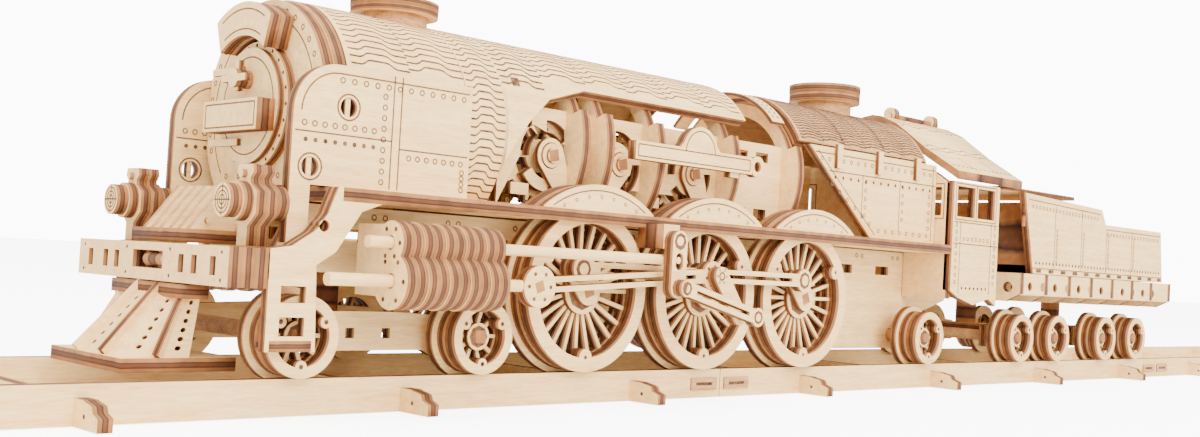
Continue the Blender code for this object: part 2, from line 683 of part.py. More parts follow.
def boiler_ribs():
    """Arched ribs and two side plates that carry the gear axles."""
    under = BOILER_RADIUS - PLY - GAP
    lowest = math.degrees(math.asin((BOARD_TOP + GAP - BOILER_Z) / BOILER_RADIUS))
    inside = BOILER_RADIUS - 2 * PLY - 0.6
    bottom = math.degrees(math.asin((BOARD_TOP + GAP - BOILER_Z) / inside))
    shapes = []
    for x in RIBS_X:
        centre = (0, BOILER_Z)
        step = 20.0
        outline = arc(centre, BOILER_RADIUS, lowest, step, 6)
        outline += arc(centre, under, step, 180 - step, 12)
        outline += arc(centre, BOILER_RADIUS, 180 - step, 180 - lowest, 6)
        outline += arc(centre, inside - 0.6, 180 - bottom, bottom, 16)
        shapes.append(plate(outline, x - PLY / 2, x + PLY / 2, "YZ"))
    plate_z = (BOARD_TOP + GAP, BOILER_Z + 9.0)
    outline = rectangle((RIBS_X[0] - 24, plate_z[0]), (RIBS_X[-1] + PLY / 2, plate_z[1]))
    holes = [circle((x, GEAR_HUB_Z), AXLE_RADIUS + GAP, 10) for x in GEAR_HUBS_X]
    for side in SIDES:
        low, high = span(side, inside - PLY - 0.5, inside - 0.5)
        shapes.append(plate(outline, low, high, holes=holes))
    piece("boiler_ribs", shapes, WARM)


def boiler_gear(name, x, layer):
    """An axle across the boiler with a gear disc near each end."""
    inside = BOILER_RADIUS - 2 * PLY - 0.6
    reach = inside + 2.5
    axle = (x, 0, GEAR_HUB_Z)
    inner = inside - 0.5 - (PLY + GAP) * (layer + 1) - PLY
    profile = [(reach, AXLE_RADIUS), (inner + PLY, AXLE_RADIUS), (inner + PLY, GEAR_RADIUS)]
    profile += [(inner, GEAR_RADIUS), (inner, AXLE_RADIUS)]
    whole = [(-place, radius) for place, radius in profile] + profile[::-1]
    piece(name, [turned(whole, axle, steps=16)], WARM, axle)


def round_stack(name, x, radius, height, neck):
    """A chimney or dome: discs on a narrower neck, on top of the boiler."""
    base = BOILER_TOP + GAP
    profile = [(base, neck), (base + height * 0.3, neck), (base + height * 0.3, radius)]
    profile += [(base + height, radius), (base + height, radius * 0.7), (base + height * 0.7, radius * 0.7)]
    piece(name, [turned(profile, (x, 0, 0), "Z", 20)], WARM)


def name_bar(side):
    """A blank bar with a raised half-round panel, along the boiler's side."""
    front, rear = NAME_BAR_SPAN
    bottom, top = NAME_BAR_Z
    half = NAME_PANEL_RADIUS + 1.1
    outline = [(front, bottom), (rear, bottom), (rear, top), (NAME_PANEL_X + half, top)]
    outline += arc((NAME_PANEL_X, top - 1), NAME_PANEL_RADIUS, 20, 160, 8)
    outline += [(NAME_PANEL_X - half, top), (front, top)]
    inner = BOILER_RADIUS + 3 * GAP
    piece(f"name_bar_{side}", [plate(outline, *span(side, inner, inner + PLY))], WARM)


def firebox():
    """The dark arched sheet over the firebox and the two riveted side panels."""
    panel_inner = DEFLECTOR_INNER
    lowest = 25.0
    front = RIBS_X[-1] + PLY / 2 + GAP
    rear = CAB_FRONT - GAP
    shell = arch_shell([(front, lowest), (rear, lowest)], BOILER_RADIUS, BOILER_RADIUS - PLY)
    piece("firebox_cladding", [shell], BURNT)
    top = BOILER_Z + (BOILER_RADIUS - PLY) * math.sin(math.radians(lowest))
    foot = BOARD_TOP + GAP
    outline = [(front, top), (rear, top), (rear, foot), (front + 35, foot)]
    for side in SIDES:
        panel = plate(outline, *span(side, panel_inner, panel_inner + PLY))
        piece(f"firebox_panel_{side}", [panel])


def roof_line(drop):
    """The roof's cross-section, lowered by a drop, from the right eave to the left."""
    half = HALF_WIDTH + 0.5
    eave = CAB_TOP + PLY + 2 * GAP
    right = [(half, 0.0), (23.0, 0.38), (10.5, 0.8), (3.9, 0.93), (0.0, 0.96)]
    whole = right + [(-y, share) for y, share in right[-2::-1]]
    return [(y, eave + share * ROOF_RISE - drop) for y, share in whole]


def cab():
    """The cab's sides, front wall and floor in one piece, and the roof as another."""
    inner = HALF_WIDTH - PLY
    side_plate = [(CAB_FRONT, CAB_FOOT + 3), (-31.9, CAB_FOOT + 0.7), (-21.3, CAB_FOOT - 1.8)]
    side_plate += [(-10.8, CAB_FOOT + 0.6), (CAB_REAR, CAB_FOOT - 2)]
    side_plate += [(CAB_REAR, CAB_TOP), (CAB_FRONT, CAB_TOP)]
    windows = []
    for front, rear in CAB_WINDOWS_X:
        windows.append(rectangle((front, CAB_WINDOW_Z[0]), (rear, CAB_WINDOW_Z[1])))
    shapes = [plate(side_plate, *span(side, inner, HALF_WIDTH), holes=windows) for side in SIDES]
    under = [(y, z) for y, z in roof_line(2 * PLY) if abs(y) < inner]
    wall = [(inner + OVERLAP, CAB_TOP - 1)] + under + [(-inner - OVERLAP, CAB_TOP - 1)]
    wall += [(-inner - OVERLAP, BOARD_BOTTOM), (inner + OVERLAP, BOARD_BOTTOM)]
    holes = [rectangle((y - 3.5, 60.0), (y + 3.5, 70.0)) for y in (-27.5, 27.5)]
    shapes.append(plate(wall, CAB_FRONT, CAB_FRONT + PLY, "YZ", holes))
    floor = (CAB_FRONT + OVERLAP, -inner - OVERLAP, BOARD_BOTTOM)
    shapes.append(box(floor, (CAB_REAR, inner + OVERLAP, BOARD_TOP)))
    for side in SIDES:
        low, high = span(side, FRAME_HALF + GAP, inner + OVERLAP)
        lower = rectangle((low, CAB_FOOT), (high, BOARD_BOTTOM + OVERLAP))
        shapes.append(plate(lower, CAB_FRONT, CAB_FRONT + PLY, "YZ"))
    piece("cab_body", shapes)
    roof = roof_line(0) + roof_line(PLY)[::-1]
    shapes = [plate(roof, ROOF_FRONT, ROOF_REAR, "YZ")]
    peak = max(z for y, z in roof_line(0))
    profile = [(-26.0, 1.4), (ROOF_REAR - 2, 1.4)]
    shapes.append(turned(profile, (0, 0, peak + 0.6), "X", 10))
    for x in (-25.0, 2.0):
        shapes.append(turned([(x, 2.6), (x + 3, 2.6)], (0, 0, peak + 1.6), "X", 14))
    piece("cab_roof", shapes)


def cylinder(side):
    """The valve chest and the cylinder as one stack of plates, bored for both rods."""
    sign = SIDES[side]
    upper = (sign * VALVE_Y, VALVE_Z)
    lower = (sign * PISTON_Y, PISTON_Z)
    radii = (4.8, 6.3)
    inner, outer = span(side, 28.7, VALVE_Y)
    bores = (circle(upper, SPINDLE_RADIUS + GAP, 10), circle(lower, PISTON_RADIUS + GAP, 10))
    web = rectangle((inner, PISTON_Z - 3.5), (outer, VALVE_Z + 4.0))
    shapes = []
    for outline in (web, circle(upper, radii[0], 14), circle(lower, radii[1], 16)):
        shapes.append(plate(outline, CYLINDER_FRONT, CYLINDER_REAR, "YZ"))
    solid = joined(shapes)
    for bore in bores:
        solid = combined(solid, plate(bore, CYLINDER_FRONT - 1, CYLINDER_REAR + 1, "YZ"), "DIFFERENCE")
    piece(f"cylinder_{side}", [solid], WARM)


# ---------- tender ----------

def tender_body():
    """The tender's tank: sides, ends, floor, a low rear deck and a higher front board."""
    inner = HALF_WIDTH - PLY
    front, rear = TENDER_FRONT, TENDER_REAR
    side_plate = [(front + 8, TENDER_FLOOR), (rear, TENDER_FLOOR), (rear - 3, TENDER_DECK)]
    side_plate += [(TENDER_STEP_X + 4, TENDER_DECK), (TENDER_STEP_X, TENDER_TOP - 2), (front, TENDER_TOP)]
    shapes = [plate(side_plate, *span(side, inner, HALF_WIDTH)) for side in SIDES]
    across = inner + OVERLAP
    shapes.append(box((front + 9, -across, TENDER_FLOOR), (rear - 1, across, TENDER_FLOOR + PLY)))
    shapes.append(box((TENDER_STEP_X, -across, TENDER_DECK - PLY), (rear - 4, across, TENDER_DECK - 0.5)))
    step = TENDER_STEP_X
    shapes.append(box((step, -across, TENDER_DECK - PLY), (step + PLY, across, TENDER_TOP - 4)))
    shapes.append(box((front + 9, -across, TENDER_FLOOR), (front + 12, across, TENDER_TOP - 3)))
    shapes.append(box((rear - 7, -across, TENDER_FLOOR), (rear - 4, across, TENDER_DECK - 1)))
    piece("tender_body", shapes)


def coal_board():
    """The board over the front of the tender."""
    half = HALF_WIDTH - PLY
    bottom = TENDER_TOP + GAP
    board = box((TENDER_FRONT - 11, -half, bottom), (TENDER_STEP_X - 19, half, bottom + PLY / 2))
    piece("tender_top_board", [board], WARM)


def tender_frame():
    """A spine with cross plates hanging under the tank, and the rear buffer plate."""
    top = TENDER_FLOOR - GAP
    first = TENDER_FRONT - 1.7
    last = first + (TENDER_PLATES - 1) * TENDER_PLATE_PITCH
    shapes = []
    outline = [(-HALF_WIDTH, top), (-HALF_WIDTH, 34.0), (-30.0, 31.0)]
    outline += [(30.0, 31.0), (HALF_WIDTH, 34.0), (HALF_WIDTH, top)]
    for index in range(TENDER_PLATES):
        x = first + index * TENDER_PLATE_PITCH
        shapes.append(plate(outline, x, x + PLY, "YZ"))
    for side in SIDES:
        low, high = span(side, 10.0, 10.0 + PLY)
        shapes.append(box((CAB_REAR + GAP, low, 34.0), (last + OVERLAP, high, top - OVERLAP)))
    shapes.append(box((CAB_REAR + GAP, -13.0, 34.0), (first + OVERLAP, 13.0, 34.0 + PLY)))
    shapes.append(box((first + OVERLAP, -13.0, 31.0), (last + OVERLAP, 13.0, 33.5)))
    shapes.append(box((last - 2, -26.0, 34.0), (last + 7, 26.0, 40.0)))
    shapes.append(box((last + 5, -20.0, 34.0), (last + 8, 20.0, 54.0)))
    piece("tender_frame", shapes)


# ---------- assembly ----------

def build():
    for item in list(bpy.data.objects):
        bpy.data.objects.remove(item)
    for index, name in enumerate(SECTION_NAMES):
        track_section(name, index)
    main_frame()
    buffer_beam()
    cowcatcher()
    front_grille()
    smokebox_front()
    headboard()
    smokebox_door()
    boiler_cladding()
    boiler_ribs()
    for name, x, layer in zip(("front", "middle", "rear"), GEAR_HUBS_X, (1, 2, 1)):
        boiler_gear(f"boiler_gear_{name}", x, layer)
    round_stack("chimney", CHIMNEY_X, CHIMNEY_RADIUS, CHIMNEY_HEIGHT, CHIMNEY_RADIUS * 0.9)
    round_stack("steam_dome", DOME_X, DOME_RADIUS, DOME_HEIGHT, DOME_RADIUS * 0.7)
    firebox()
    cab()
    for name, x in zip(("front", "middle", "rear"), DRIVERS_X):
        driving_wheels(f"driving_wheels_{name}", x)
    bogie("leading_bogie", LEADING_BOGIE_X, LEADING_WHEELBASE, BEAM_BOTTOM + 3.5)
    carrier_wheels("leading_wheels_front", LEADING_BOGIE_X - LEADING_WHEELBASE / 2)
    carrier_wheels("leading_wheels_rear", LEADING_BOGIE_X + LEADING_WHEELBASE / 2)
    carrier_wheels("trailing_wheels", TRAILING_X)
    for side in SIDES:
        running_board(side)
        smoke_deflector(side)
        lantern(side)
        name_bar(side)
        cylinder(side)
        coupling_rod(side)
        main_rod(side)
        crosshead(side)
        valve_link(side)
        valve_rod(side)
        eccentric_rod(side)
    tender_body()
    coal_board()
    tender_frame()
    for name, x in zip(("front", "rear"), TENDER_BOGIES_X):
        bogie(f"tender_bogie_{name}", x, TENDER_WHEELBASE, 31.0)
        carrier_wheels(f"tender_{name}_bogie_wheels_front", x - TENDER_WHEELBASE / 2)
        carrier_wheels(f"tender_{name}_bogie_wheels_rear", x + TENDER_WHEELBASE / 2)


build()
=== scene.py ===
"""The looks of the plywood locomotive, tender and track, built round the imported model.

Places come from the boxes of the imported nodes. Sizes are in millimetres, and MM turns them into metres.
"""
import json
import math

import bpy
from mathutils import Matrix, Vector


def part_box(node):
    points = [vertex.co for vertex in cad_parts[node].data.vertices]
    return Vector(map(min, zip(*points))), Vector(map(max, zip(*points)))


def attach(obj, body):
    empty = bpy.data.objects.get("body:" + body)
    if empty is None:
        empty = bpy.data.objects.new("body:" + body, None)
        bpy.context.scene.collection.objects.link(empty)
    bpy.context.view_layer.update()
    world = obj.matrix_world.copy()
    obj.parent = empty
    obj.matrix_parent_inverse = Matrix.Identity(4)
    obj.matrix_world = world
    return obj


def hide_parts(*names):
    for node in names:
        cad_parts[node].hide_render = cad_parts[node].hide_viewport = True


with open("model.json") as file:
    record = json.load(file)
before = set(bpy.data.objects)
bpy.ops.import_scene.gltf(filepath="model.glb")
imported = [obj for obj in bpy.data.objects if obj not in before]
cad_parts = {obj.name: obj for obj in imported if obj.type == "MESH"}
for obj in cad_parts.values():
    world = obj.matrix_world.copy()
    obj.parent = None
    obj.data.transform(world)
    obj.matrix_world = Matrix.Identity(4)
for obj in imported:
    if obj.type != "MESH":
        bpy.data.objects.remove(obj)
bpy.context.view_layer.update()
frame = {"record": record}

MM = 0.001
PLY = 3.0
SKIN = 0.05        # how far a scorched line stands out of the face it is drawn on
LINE = 0.35        # width of a laser line
BOILER_Z, BOILER_R = 67.2, 27.1
BOARD_TOP = 49.9   # the level that the boiler's plates and the deflectors stand on
SIDE_OUT = 35.94   # the outer face of the cab's and the tender's sides

SIDES = {"left": -1, "right": 1}
BODY_OF = {node: body for body, nodes in frame["record"]["behaviour"]["bodies"].items() for node in nodes}


def place_of(node):
    """A node's lowest and highest corners in millimetres."""
    low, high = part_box(node)
    return low / MM, high / MM


# ---------- camera and light ----------

def add_camera():
    """A low view of the locomotive's left front corner."""
    turn = math.radians(44.28)
    lift = math.radians(2.087)
    roll = math.radians(3.155)
    forward = Vector((math.sin(turn) * math.cos(lift), math.cos(turn) * math.cos(lift), math.sin(lift)))
    level = Vector((math.cos(turn), -math.sin(turn), 0))
    upright = level.cross(forward)
    right = math.cos(roll) * level + math.sin(roll) * upright
    up = -math.sin(roll) * level + math.cos(roll) * upright
    lens = bpy.data.cameras.new("camera")
    lens.sensor_width = 36.0
    lens.lens = 39.286
    lens.clip_start = 0.01
    lens.clip_end = 20
    camera = bpy.data.objects.new("camera", lens)
    rows = Matrix((right, up, -forward)).transposed().to_4x4()
    camera.matrix_world = Matrix.Translation(Vector((-441.7, -275.5, 35.65)) * MM) @ rows
    bpy.context.scene.collection.objects.link(camera)
    bpy.context.scene.camera = camera


def add_light(name, place, size, power, aim=(-100, 0, 40)):
    lamp = bpy.data.lights.new(name, "AREA")
    lamp.shape = "RECTANGLE"
    lamp.size = size[0]
    lamp.size_y = size[1]
    lamp.energy = power
    item = bpy.data.objects.new(name, lamp)
    item.location = Vector(place)
    item.rotation_euler = (Vector(aim) * MM - item.location).to_track_quat("-Z", "Y").to_euler()
    bpy.context.scene.collection.objects.link(item)


def add_studio():
    """A white sweep, a pale world, a broad light overhead and one from the left front."""
    world = bpy.data.worlds.new("studio")
    bpy.context.scene.world = world
    world.use_nodes = True
    world.node_tree.nodes["Background"].inputs["Color"].default_value = (1, 1, 1, 1)
    # the backdrop is lit harder than the model, so that it stays white
    rays = add_node(world.node_tree, "ShaderNodeLightPath")
    strength = add_node(world.node_tree, "ShaderNodeMath", {"operation": "MULTIPLY_ADD"},
                        i0=rays.outputs["Is Camera Ray"], i1=9.0, i2=2.3)
    world.node_tree.links.new(strength.outputs[0], world.node_tree.nodes["Background"].inputs["Strength"])
    add_light("overhead", (-0.3, -0.2, 1.3), (1.6, 1.2), 30)
    add_light("front_left", (-0.5, -1.3, 0.7), (1.0, 0.8), 30)
    bpy.ops.mesh.primitive_plane_add(size=24, location=(0, 0, -0.0002))
    floor = bpy.context.object
    floor.name = "floor"
    paper = bpy.data.materials.new("white_paper")
    paper.use_nodes = True
    shader = paper.node_tree.nodes["Principled BSDF"]
    shader.inputs["Base Color"].default_value = (0.98, 0.98, 0.98, 1)
    shader.inputs["Roughness"].default_value = 0.9
    shader.inputs["Emission Color"].default_value = (1, 1, 1, 1)
    seen = add_node(paper.node_tree, "ShaderNodeLightPath")
    glow = add_node(paper.node_tree, "ShaderNodeMath", {"operation": "MULTIPLY"},
                    i0=seen.outputs["Is Camera Ray"], i1=6.0)
    paper.node_tree.links.new(glow.outputs[0], shader.inputs["Emission Strength"])
    floor.data.materials.append(paper)


# ---------- materials ----------

def colour(code):
    """An sRGB hex value as a linear colour."""
    values = [int(code[at:at + 2], 16) / 255 for at in (0, 2, 4)]
    linear = [v / 12.92 if v <= 0.04045 else ((v + 0.055) / 1.055) ** 2.4 for v in values]
    return (*linear, 1)


def add_node(tree, kind, settings=None, **links):
    """Adds a node, sets its own properties, and fills or links its named inputs."""
    node = tree.nodes.new(kind)
    for name, value in (settings or {}).items():
        setattr(node, name, value)
    for name, value in links.items():
        socket = node.inputs[int(name[1:])] if name[0] == "i" and name[1:].isdigit() else node.inputs[name]
        if isinstance(value, bpy.types.NodeSocket):
            tree.links.new(value, socket)
        else:
            socket.default_value = value
    return node


def start_material(name, roughness):
    material = bpy.data.materials.new(name)
    material.use_nodes = True
    tree = material.node_tree
    shader = tree.nodes["Principled BSDF"]
    shader.inputs["Roughness"].default_value = roughness
    shader.inputs["Specular IOR Level"].default_value = 0.3
    return material, tree, shader


def set_stops(ramp, stops):
    band = ramp.color_ramp
    while len(band.elements) < len(stops):
        band.elements.new(0.5)
    for element, (place, code) in zip(band.elements, stops):
        element.position = place
        element.color = colour(code)


def birch_face(name, light, dark):
    """Rotary-cut birch veneer, sanded: long soft streaks and fine flecks along the sheet, matt."""
    material, tree, shader = start_material(name, 0.62)
    where = add_node(tree, "ShaderNodeTexCoord")
    # streaks about 2 mm wide and 25 mm long, flecks about 0.4 by 4 mm
    long = add_node(tree, "ShaderNodeMapping", Vector=where.outputs["Object"], Scale=(40, 500, 500))
    streaks = add_node(tree, "ShaderNodeTexNoise", Vector=long.outputs["Vector"], Scale=1.0, Detail=4.0)
    fine = add_node(tree, "ShaderNodeMapping", Vector=where.outputs["Object"], Scale=(250, 2400, 2400))
    flecks = add_node(tree, "ShaderNodeTexNoise", Vector=fine.outputs["Vector"], Scale=1.0, Detail=2.0)
    both = add_node(tree, "ShaderNodeMath", {"operation": "ADD"},
                    i0=streaks.outputs["Fac"], i1=flecks.outputs["Fac"])
    half = add_node(tree, "ShaderNodeMath", {"operation": "MULTIPLY"}, i0=both.outputs[0], i1=0.5)
    tone = add_node(tree, "ShaderNodeValToRGB", Fac=half.outputs[0])
    set_stops(tone, [(0.32, dark), (0.62, light)])
    tree.links.new(tone.outputs["Color"], shader.inputs["Base Color"])
    rough = add_node(tree, "ShaderNodeBump", Height=flecks.outputs["Fac"], Strength=0.12, Distance=0.0002)
    tree.links.new(rough.outputs["Normal"], shader.inputs["Normal"])
    return material


def scorched_edge(name, outer, glue, core):
    """A laser-cut edge: two browned outer plies, thin dark glue lines and a darker cross-grained core."""
    material, tree, shader = start_material(name, 0.75)
    depth = add_node(tree, "ShaderNodeAttribute", {"attribute_name": "ply"})
    where = add_node(tree, "ShaderNodeTexCoord")
    # soot comes and goes every few millimetres along the cut
    wide = add_node(tree, "ShaderNodeTexNoise", Vector=where.outputs["Object"], Scale=260.0, Detail=3.0)
    bend = add_node(tree, "ShaderNodeMath", {"operation": "MULTIPLY_ADD"},
                    i0=wide.outputs["Fac"], i1=0.10, i2=depth.outputs["Fac"])
    plies = add_node(tree, "ShaderNodeValToRGB", Fac=bend.outputs[0])
    set_stops(plies, [(0.0, outer), (0.30, outer), (0.38, glue), (0.46, core), (0.62, core), (0.72, glue),
                      (0.80, outer)])
    soot = add_node(tree, "ShaderNodeMapRange", Value=wide.outputs["Fac"])
    soot.inputs["From Min"].default_value = 0.35
    soot.inputs["From Max"].default_value = 0.7
    soot.inputs["To Min"].default_value = 0.72
    soot.inputs["To Max"].default_value = 1.1
    shade = add_node(tree, "ShaderNodeVectorMath", {"operation": "SCALE"},
                     i0=plies.outputs["Color"], Scale=soot.outputs["Result"])
    tree.links.new(shade.outputs["Vector"], shader.inputs["Base Color"])
    return material


def laser_line(name, code):
    """A line burnt into the face by the laser: flat dark brown char. Its darkest copy stands for slots, slits
    and small holes, with painted shade inside the opening.
    """
    material, tree, shader = start_material(name, 0.9)
    where = add_node(tree, "ShaderNodeTexCoord")
    # the char lightens in spots about a millimetre across
    spots = add_node(tree, "ShaderNodeTexNoise", Vector=where.outputs["Object"], Scale=900.0)
    tone = add_node(tree, "ShaderNodeValToRGB", Fac=spots.outputs["Fac"])
    set_stops(tone, [(0.3, code), (0.8, "8A5F3C")])
    tree.links.new(tone.outputs["Color"], shader.inputs["Base Color"])
    return material


FACE = birch_face("birch_veneer_face", "F2CC8A", "DDAC68")
EDGE = scorched_edge("scorched_plywood_edge", "A06A3A", "3A1E0D", "683C1E")
CHAR = laser_line("charred_laser_line", "5A3A22")
# a darker copy of the veneer face: painted shade under the splashers, on the axles, the chimney and dome necks
# and the grille slats; the firebox cladding and the rail fishplates are drawn in it too
DIM = birch_face("darker_veneer_painted_shade", "CC9C66", "9A683B")
# the darkest char, drawn over slots, slits and small holes: partly char, partly painted shade inside the opening
HOLE = laser_line("slot_char_and_painted_shade", "2E1C10")
MATERIALS = (FACE, EDGE, CHAR, DIM, HOLE)
FACE_AT, EDGE_AT, CHAR_AT, DIM_AT, HOLE_AT = range(len(MATERIALS))


# ---------- outlines ----------

def arc(centre, radius, start, end, steps):
    angles = [math.radians(start + (end - start) * step / steps) for step in range(steps + 1)]
    return [(centre[0] + radius * math.cos(a), centre[1] + radius * math.sin(a)) for a in angles]


def circle(centre, radius, steps=24):
    return arc(centre, radius, 0, 360, steps)[:-1]


def around(x, z, radius, angle):
    """The point at an angle on a circle."""
    return (x + radius * math.cos(math.radians(angle)), z + radius * math.sin(math.radians(angle)))


def rectangle(low, high):
    return [(low[0], low[1]), (high[0], low[1]), (high[0], high[1]), (low[0], high[1])]


def round_bar(first, second, radii, steps=10):
    """The outline round two circles and the straight sides between them."""
    along = Vector(second) - Vector(first)
    angle = math.degrees(math.atan2(along.y, along.x))
    start = arc(first, radii[0], angle + 90, angle + 270, steps)
    return start + arc(second, radii[1], angle - 90, angle + 90, steps)


def square(centre, size, turn=0.0):
    half = size / math.sqrt(2)
    return arc(centre, half, 45 + turn, 315 + turn, 3)


def wedge(centre, inner, outer, start, end, steps=3):
    """A window between two spokes."""
    return arc(centre, outer, start, end, steps) + arc(centre, inner, end, start, steps)


def mirrored(points):
    """An outline reflected across its second axis's zero, still in order."""
    return [(-u, v) for u, v in reversed(points)]


# ---------- shaping ----------

def deselect():
    bpy.ops.object.select_all(action="DESELECT")


def only(item):
    deselect()
    item.select_set(True)
    bpy.context.view_layer.objects.active = item


def dressed(item):
    """Gives a finished shape the object's five materials."""
    item.data.materials.clear()
    for material in MATERIALS:
        item.data.materials.append(material)
    return item


TO_PLANE = {
    "XZ": Matrix(((1, 0, 0, 0), (0, 0, 1, 0), (0, 1, 0, 0), (0, 0, 0, 1))),
    "YZ": Matrix(((0, 0, 1, 0), (1, 0, 0, 0), (0, 1, 0, 0), (0, 0, 0, 1))),
    "XY": Matrix.Identity(4),
}


def cut(outline, low, high, plane="XZ", holes=(), face=FACE_AT, edge=EDGE_AT):
    """A plate cut from sheet. Its faces are veneer and its cut edges are scorched, with the plies showing."""
    drawing = bpy.data.curves.new("plate", "CURVE")
    drawing.dimensions = "2D"
    drawing.fill_mode = "BOTH"
    drawing.extrude = (high - low) / 2 * MM
    for loop in (outline, *holes):
        spline = drawing.splines.new("POLY")
        spline.points.add(len(loop) - 1)
        for point, (u, v) in zip(spline.points, loop):
            point.co = (u * MM, v * MM, 0, 1)
        spline.use_cyclic_u = True
    item = bpy.data.objects.new("plate", drawing)
    bpy.context.scene.collection.objects.link(item)
    only(item)
    bpy.ops.object.convert(target="MESH")
    item = bpy.context.object
    mesh = item.data
    depth = mesh.attributes.new("ply", "FLOAT", "POINT")
    depth.data.foreach_set("value", [float(v.co.z > 0) for v in mesh.vertices])
    for side in mesh.polygons:
        side.material_index = face if abs(side.normal.z) > 0.5 else edge
    bpy.ops.object.mode_set(mode="EDIT")
    bpy.ops.mesh.select_all(action="SELECT")
    bpy.ops.mesh.remove_doubles(threshold=1e-7)
    bpy.ops.object.mode_set(mode="OBJECT")
    mesh.transform(Matrix.Translation((0, 0, (low + high) / 2 * MM)))
    mesh.transform(TO_PLANE[plane])
    if TO_PLANE[plane].determinant() < 0:
        mesh.flip_normals()
    indices = [side.material_index for side in mesh.polygons]
    dressed(item)
    mesh.polygons.foreach_set("material_index", indices)
    return item


def block(low, high, **looks):
    return cut(rectangle(low[:2], high[:2]), low[2], high[2], "XY", **looks)


def moved(items, by):
    for item in items:
        item.data.transform(Matrix.Translation(Vector(by) * MM))
    return items


def dowel(centre, radius, length, axis="Y", edge=EDGE_AT, face=FACE_AT, sides=16):
    """A round peg along one axis, centred on a point."""
    deselect()
    bpy.ops.mesh.primitive_cylinder_add(vertices=sides, radius=radius * MM, depth=length * MM)
    item = bpy.context.object
    bpy.ops.object.mode_set(mode="EDIT")
    bpy.ops.mesh.select_mode(type="EDGE")
    bpy.ops.mesh.select_all(action="SELECT")
    bpy.ops.mesh.region_to_loop()
    bpy.ops.object.mode_set(mode="OBJECT")
    depth = item.data.attributes.new("ply", "FLOAT", "POINT")
    depth.data.foreach_set("value", [float(v.co.z > 0) for v in item.data.vertices])
    turn = {"X": ("Y", 90), "Y": ("X", 90), "Z": ("Z", 0)}[axis]
    dressed(item)
    for side in item.data.polygons:
        side.material_index = face if abs(side.normal.z) > 0.5 else edge
    item.data.transform(Matrix.Rotation(math.radians(turn[1]), 4, turn[0]))
    item.data.transform(Matrix.Translation(Vector(centre) * MM))
    return item


def line_on(points, place, plane="XZ", width=LINE, look=CHAR_AT):
    """A thin scorched line through points on a face at a place, standing a hair proud of it on both sides."""
    bars = []
    for (u0, v0), (u1, v1) in zip(points, points[1:]):
        along = Vector((u1 - u0, v1 - v0))
        across = Vector((-along.y, along.x)).normalized() * width / 2
        ring = [(u0 + across.x, v0 + across.y), (u0 - across.x, v0 - across.y),
                (u1 - across.x, v1 - across.y), (u1 + across.x, v1 + across.y)]
        bars.append(cut(ring, place - SKIN, place + SKIN, plane, face=look, edge=look))
    return bars


def rivets(centres, place, plane="XZ", radius=0.8, filled=False):
    """Small scorched rings, each the outline of a rivet head, or filled dots where a peg comes through, drawn in
    the darkest char: partly char, partly painted shade in the hole.
    """
    marks = []
    for centre in centres:
        holes = () if filled else (circle(centre, radius * 0.6, 8),)
        marks.append(cut(circle(centre, radius, 8), place - SKIN, place + SKIN, plane, holes,
                         face=HOLE_AT if filled else CHAR_AT, edge=CHAR_AT))
    return marks


def frame_line(low, high):
    """A rectangle drawn as one closed line."""
    return rectangle(low, high) + [low]


def row(start, end, count):
    """Evenly spaced places from start to end, both included."""
    return [(start[0] + (end[0] - start[0]) * i / (count - 1), start[1] + (end[1] - start[1]) * i / (count - 1))
            for i in range(count)]


def rivet_row(start, end, count, place, radius=0.75, filled=False):
    return rivets(row(start, end, count), place, radius=radius, filled=filled)


def shell(outer, inner, centre_z, stations, steps, look=FACE_AT, edge=EDGE_AT):
    """Sheet bent round the boiler's axis. Each station is (x, lowest angle), the same on both sides."""
    points, sides, looks = [], [], []
    across = steps + 1
    for x, lowest in stations:
        for radius in (outer, inner):
            ring = arc((0, centre_z), radius, lowest, 180 - lowest, steps)
            points += [(x * MM, y * MM, z * MM) for y, z in ring]
    for at in range(len(stations) - 1):
        out, inn = at * 2 * across, (at * 2 + 1) * across
        nxt = 2 * across
        for s in range(steps):
            sides.append((out + s, out + s + 1, out + nxt + s + 1, out + nxt + s))
            sides.append((inn + s, inn + nxt + s, inn + nxt + s + 1, inn + s + 1))
            looks += [look, look]
        for s in (0, steps):
            sides.append((out + s, out + nxt + s, inn + nxt + s, inn + s))
            looks.append(edge)
    for at in (0, len(stations) - 1):
        out, inn = at * 2 * across, (at * 2 + 1) * across
        for s in range(steps):
            sides.append((out + s, inn + s, inn + s + 1, out + s + 1))
            looks.append(edge)
    mesh = bpy.data.meshes.new("sheet")
    mesh.from_pydata(points, [], sides)
    depth = mesh.attributes.new("ply", "FLOAT", "POINT")
    depth.data.foreach_set("value", [float((i // across) % 2 == 0) for i in range(len(points))])
    item = bpy.data.objects.new("sheet", mesh)
    bpy.context.scene.collection.objects.link(item)
    dressed(item)
    mesh.polygons.foreach_set("material_index", looks)
    only(item)
    bpy.ops.object.mode_set(mode="EDIT")
    bpy.ops.mesh.select_all(action="SELECT")
    bpy.ops.mesh.normals_make_consistent(inside=False)
    bpy.ops.object.mode_set(mode="OBJECT")
    bpy.ops.object.shade_smooth_by_angle(angle=math.radians(30))
    return item


def assemble(node, parts):
    """Joins a piece's plates into one object that stands for its node and moves with the node's body."""
    deselect()
    for part in parts:
        part.select_set(True)
    bpy.context.view_layer.objects.active = parts[0]
    if len(parts) > 1:
        bpy.ops.object.join()
    item = bpy.context.object
    item.name = f"{node}_plywood"
    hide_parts(node)
    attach(item, BODY_OF[node])
    return item


def layer(side, near, far):
    """The two faces of a plate that lies from near to far out on one side, the lower one first."""
    return sorted((side * near, side * far))


# ---------- track ----------

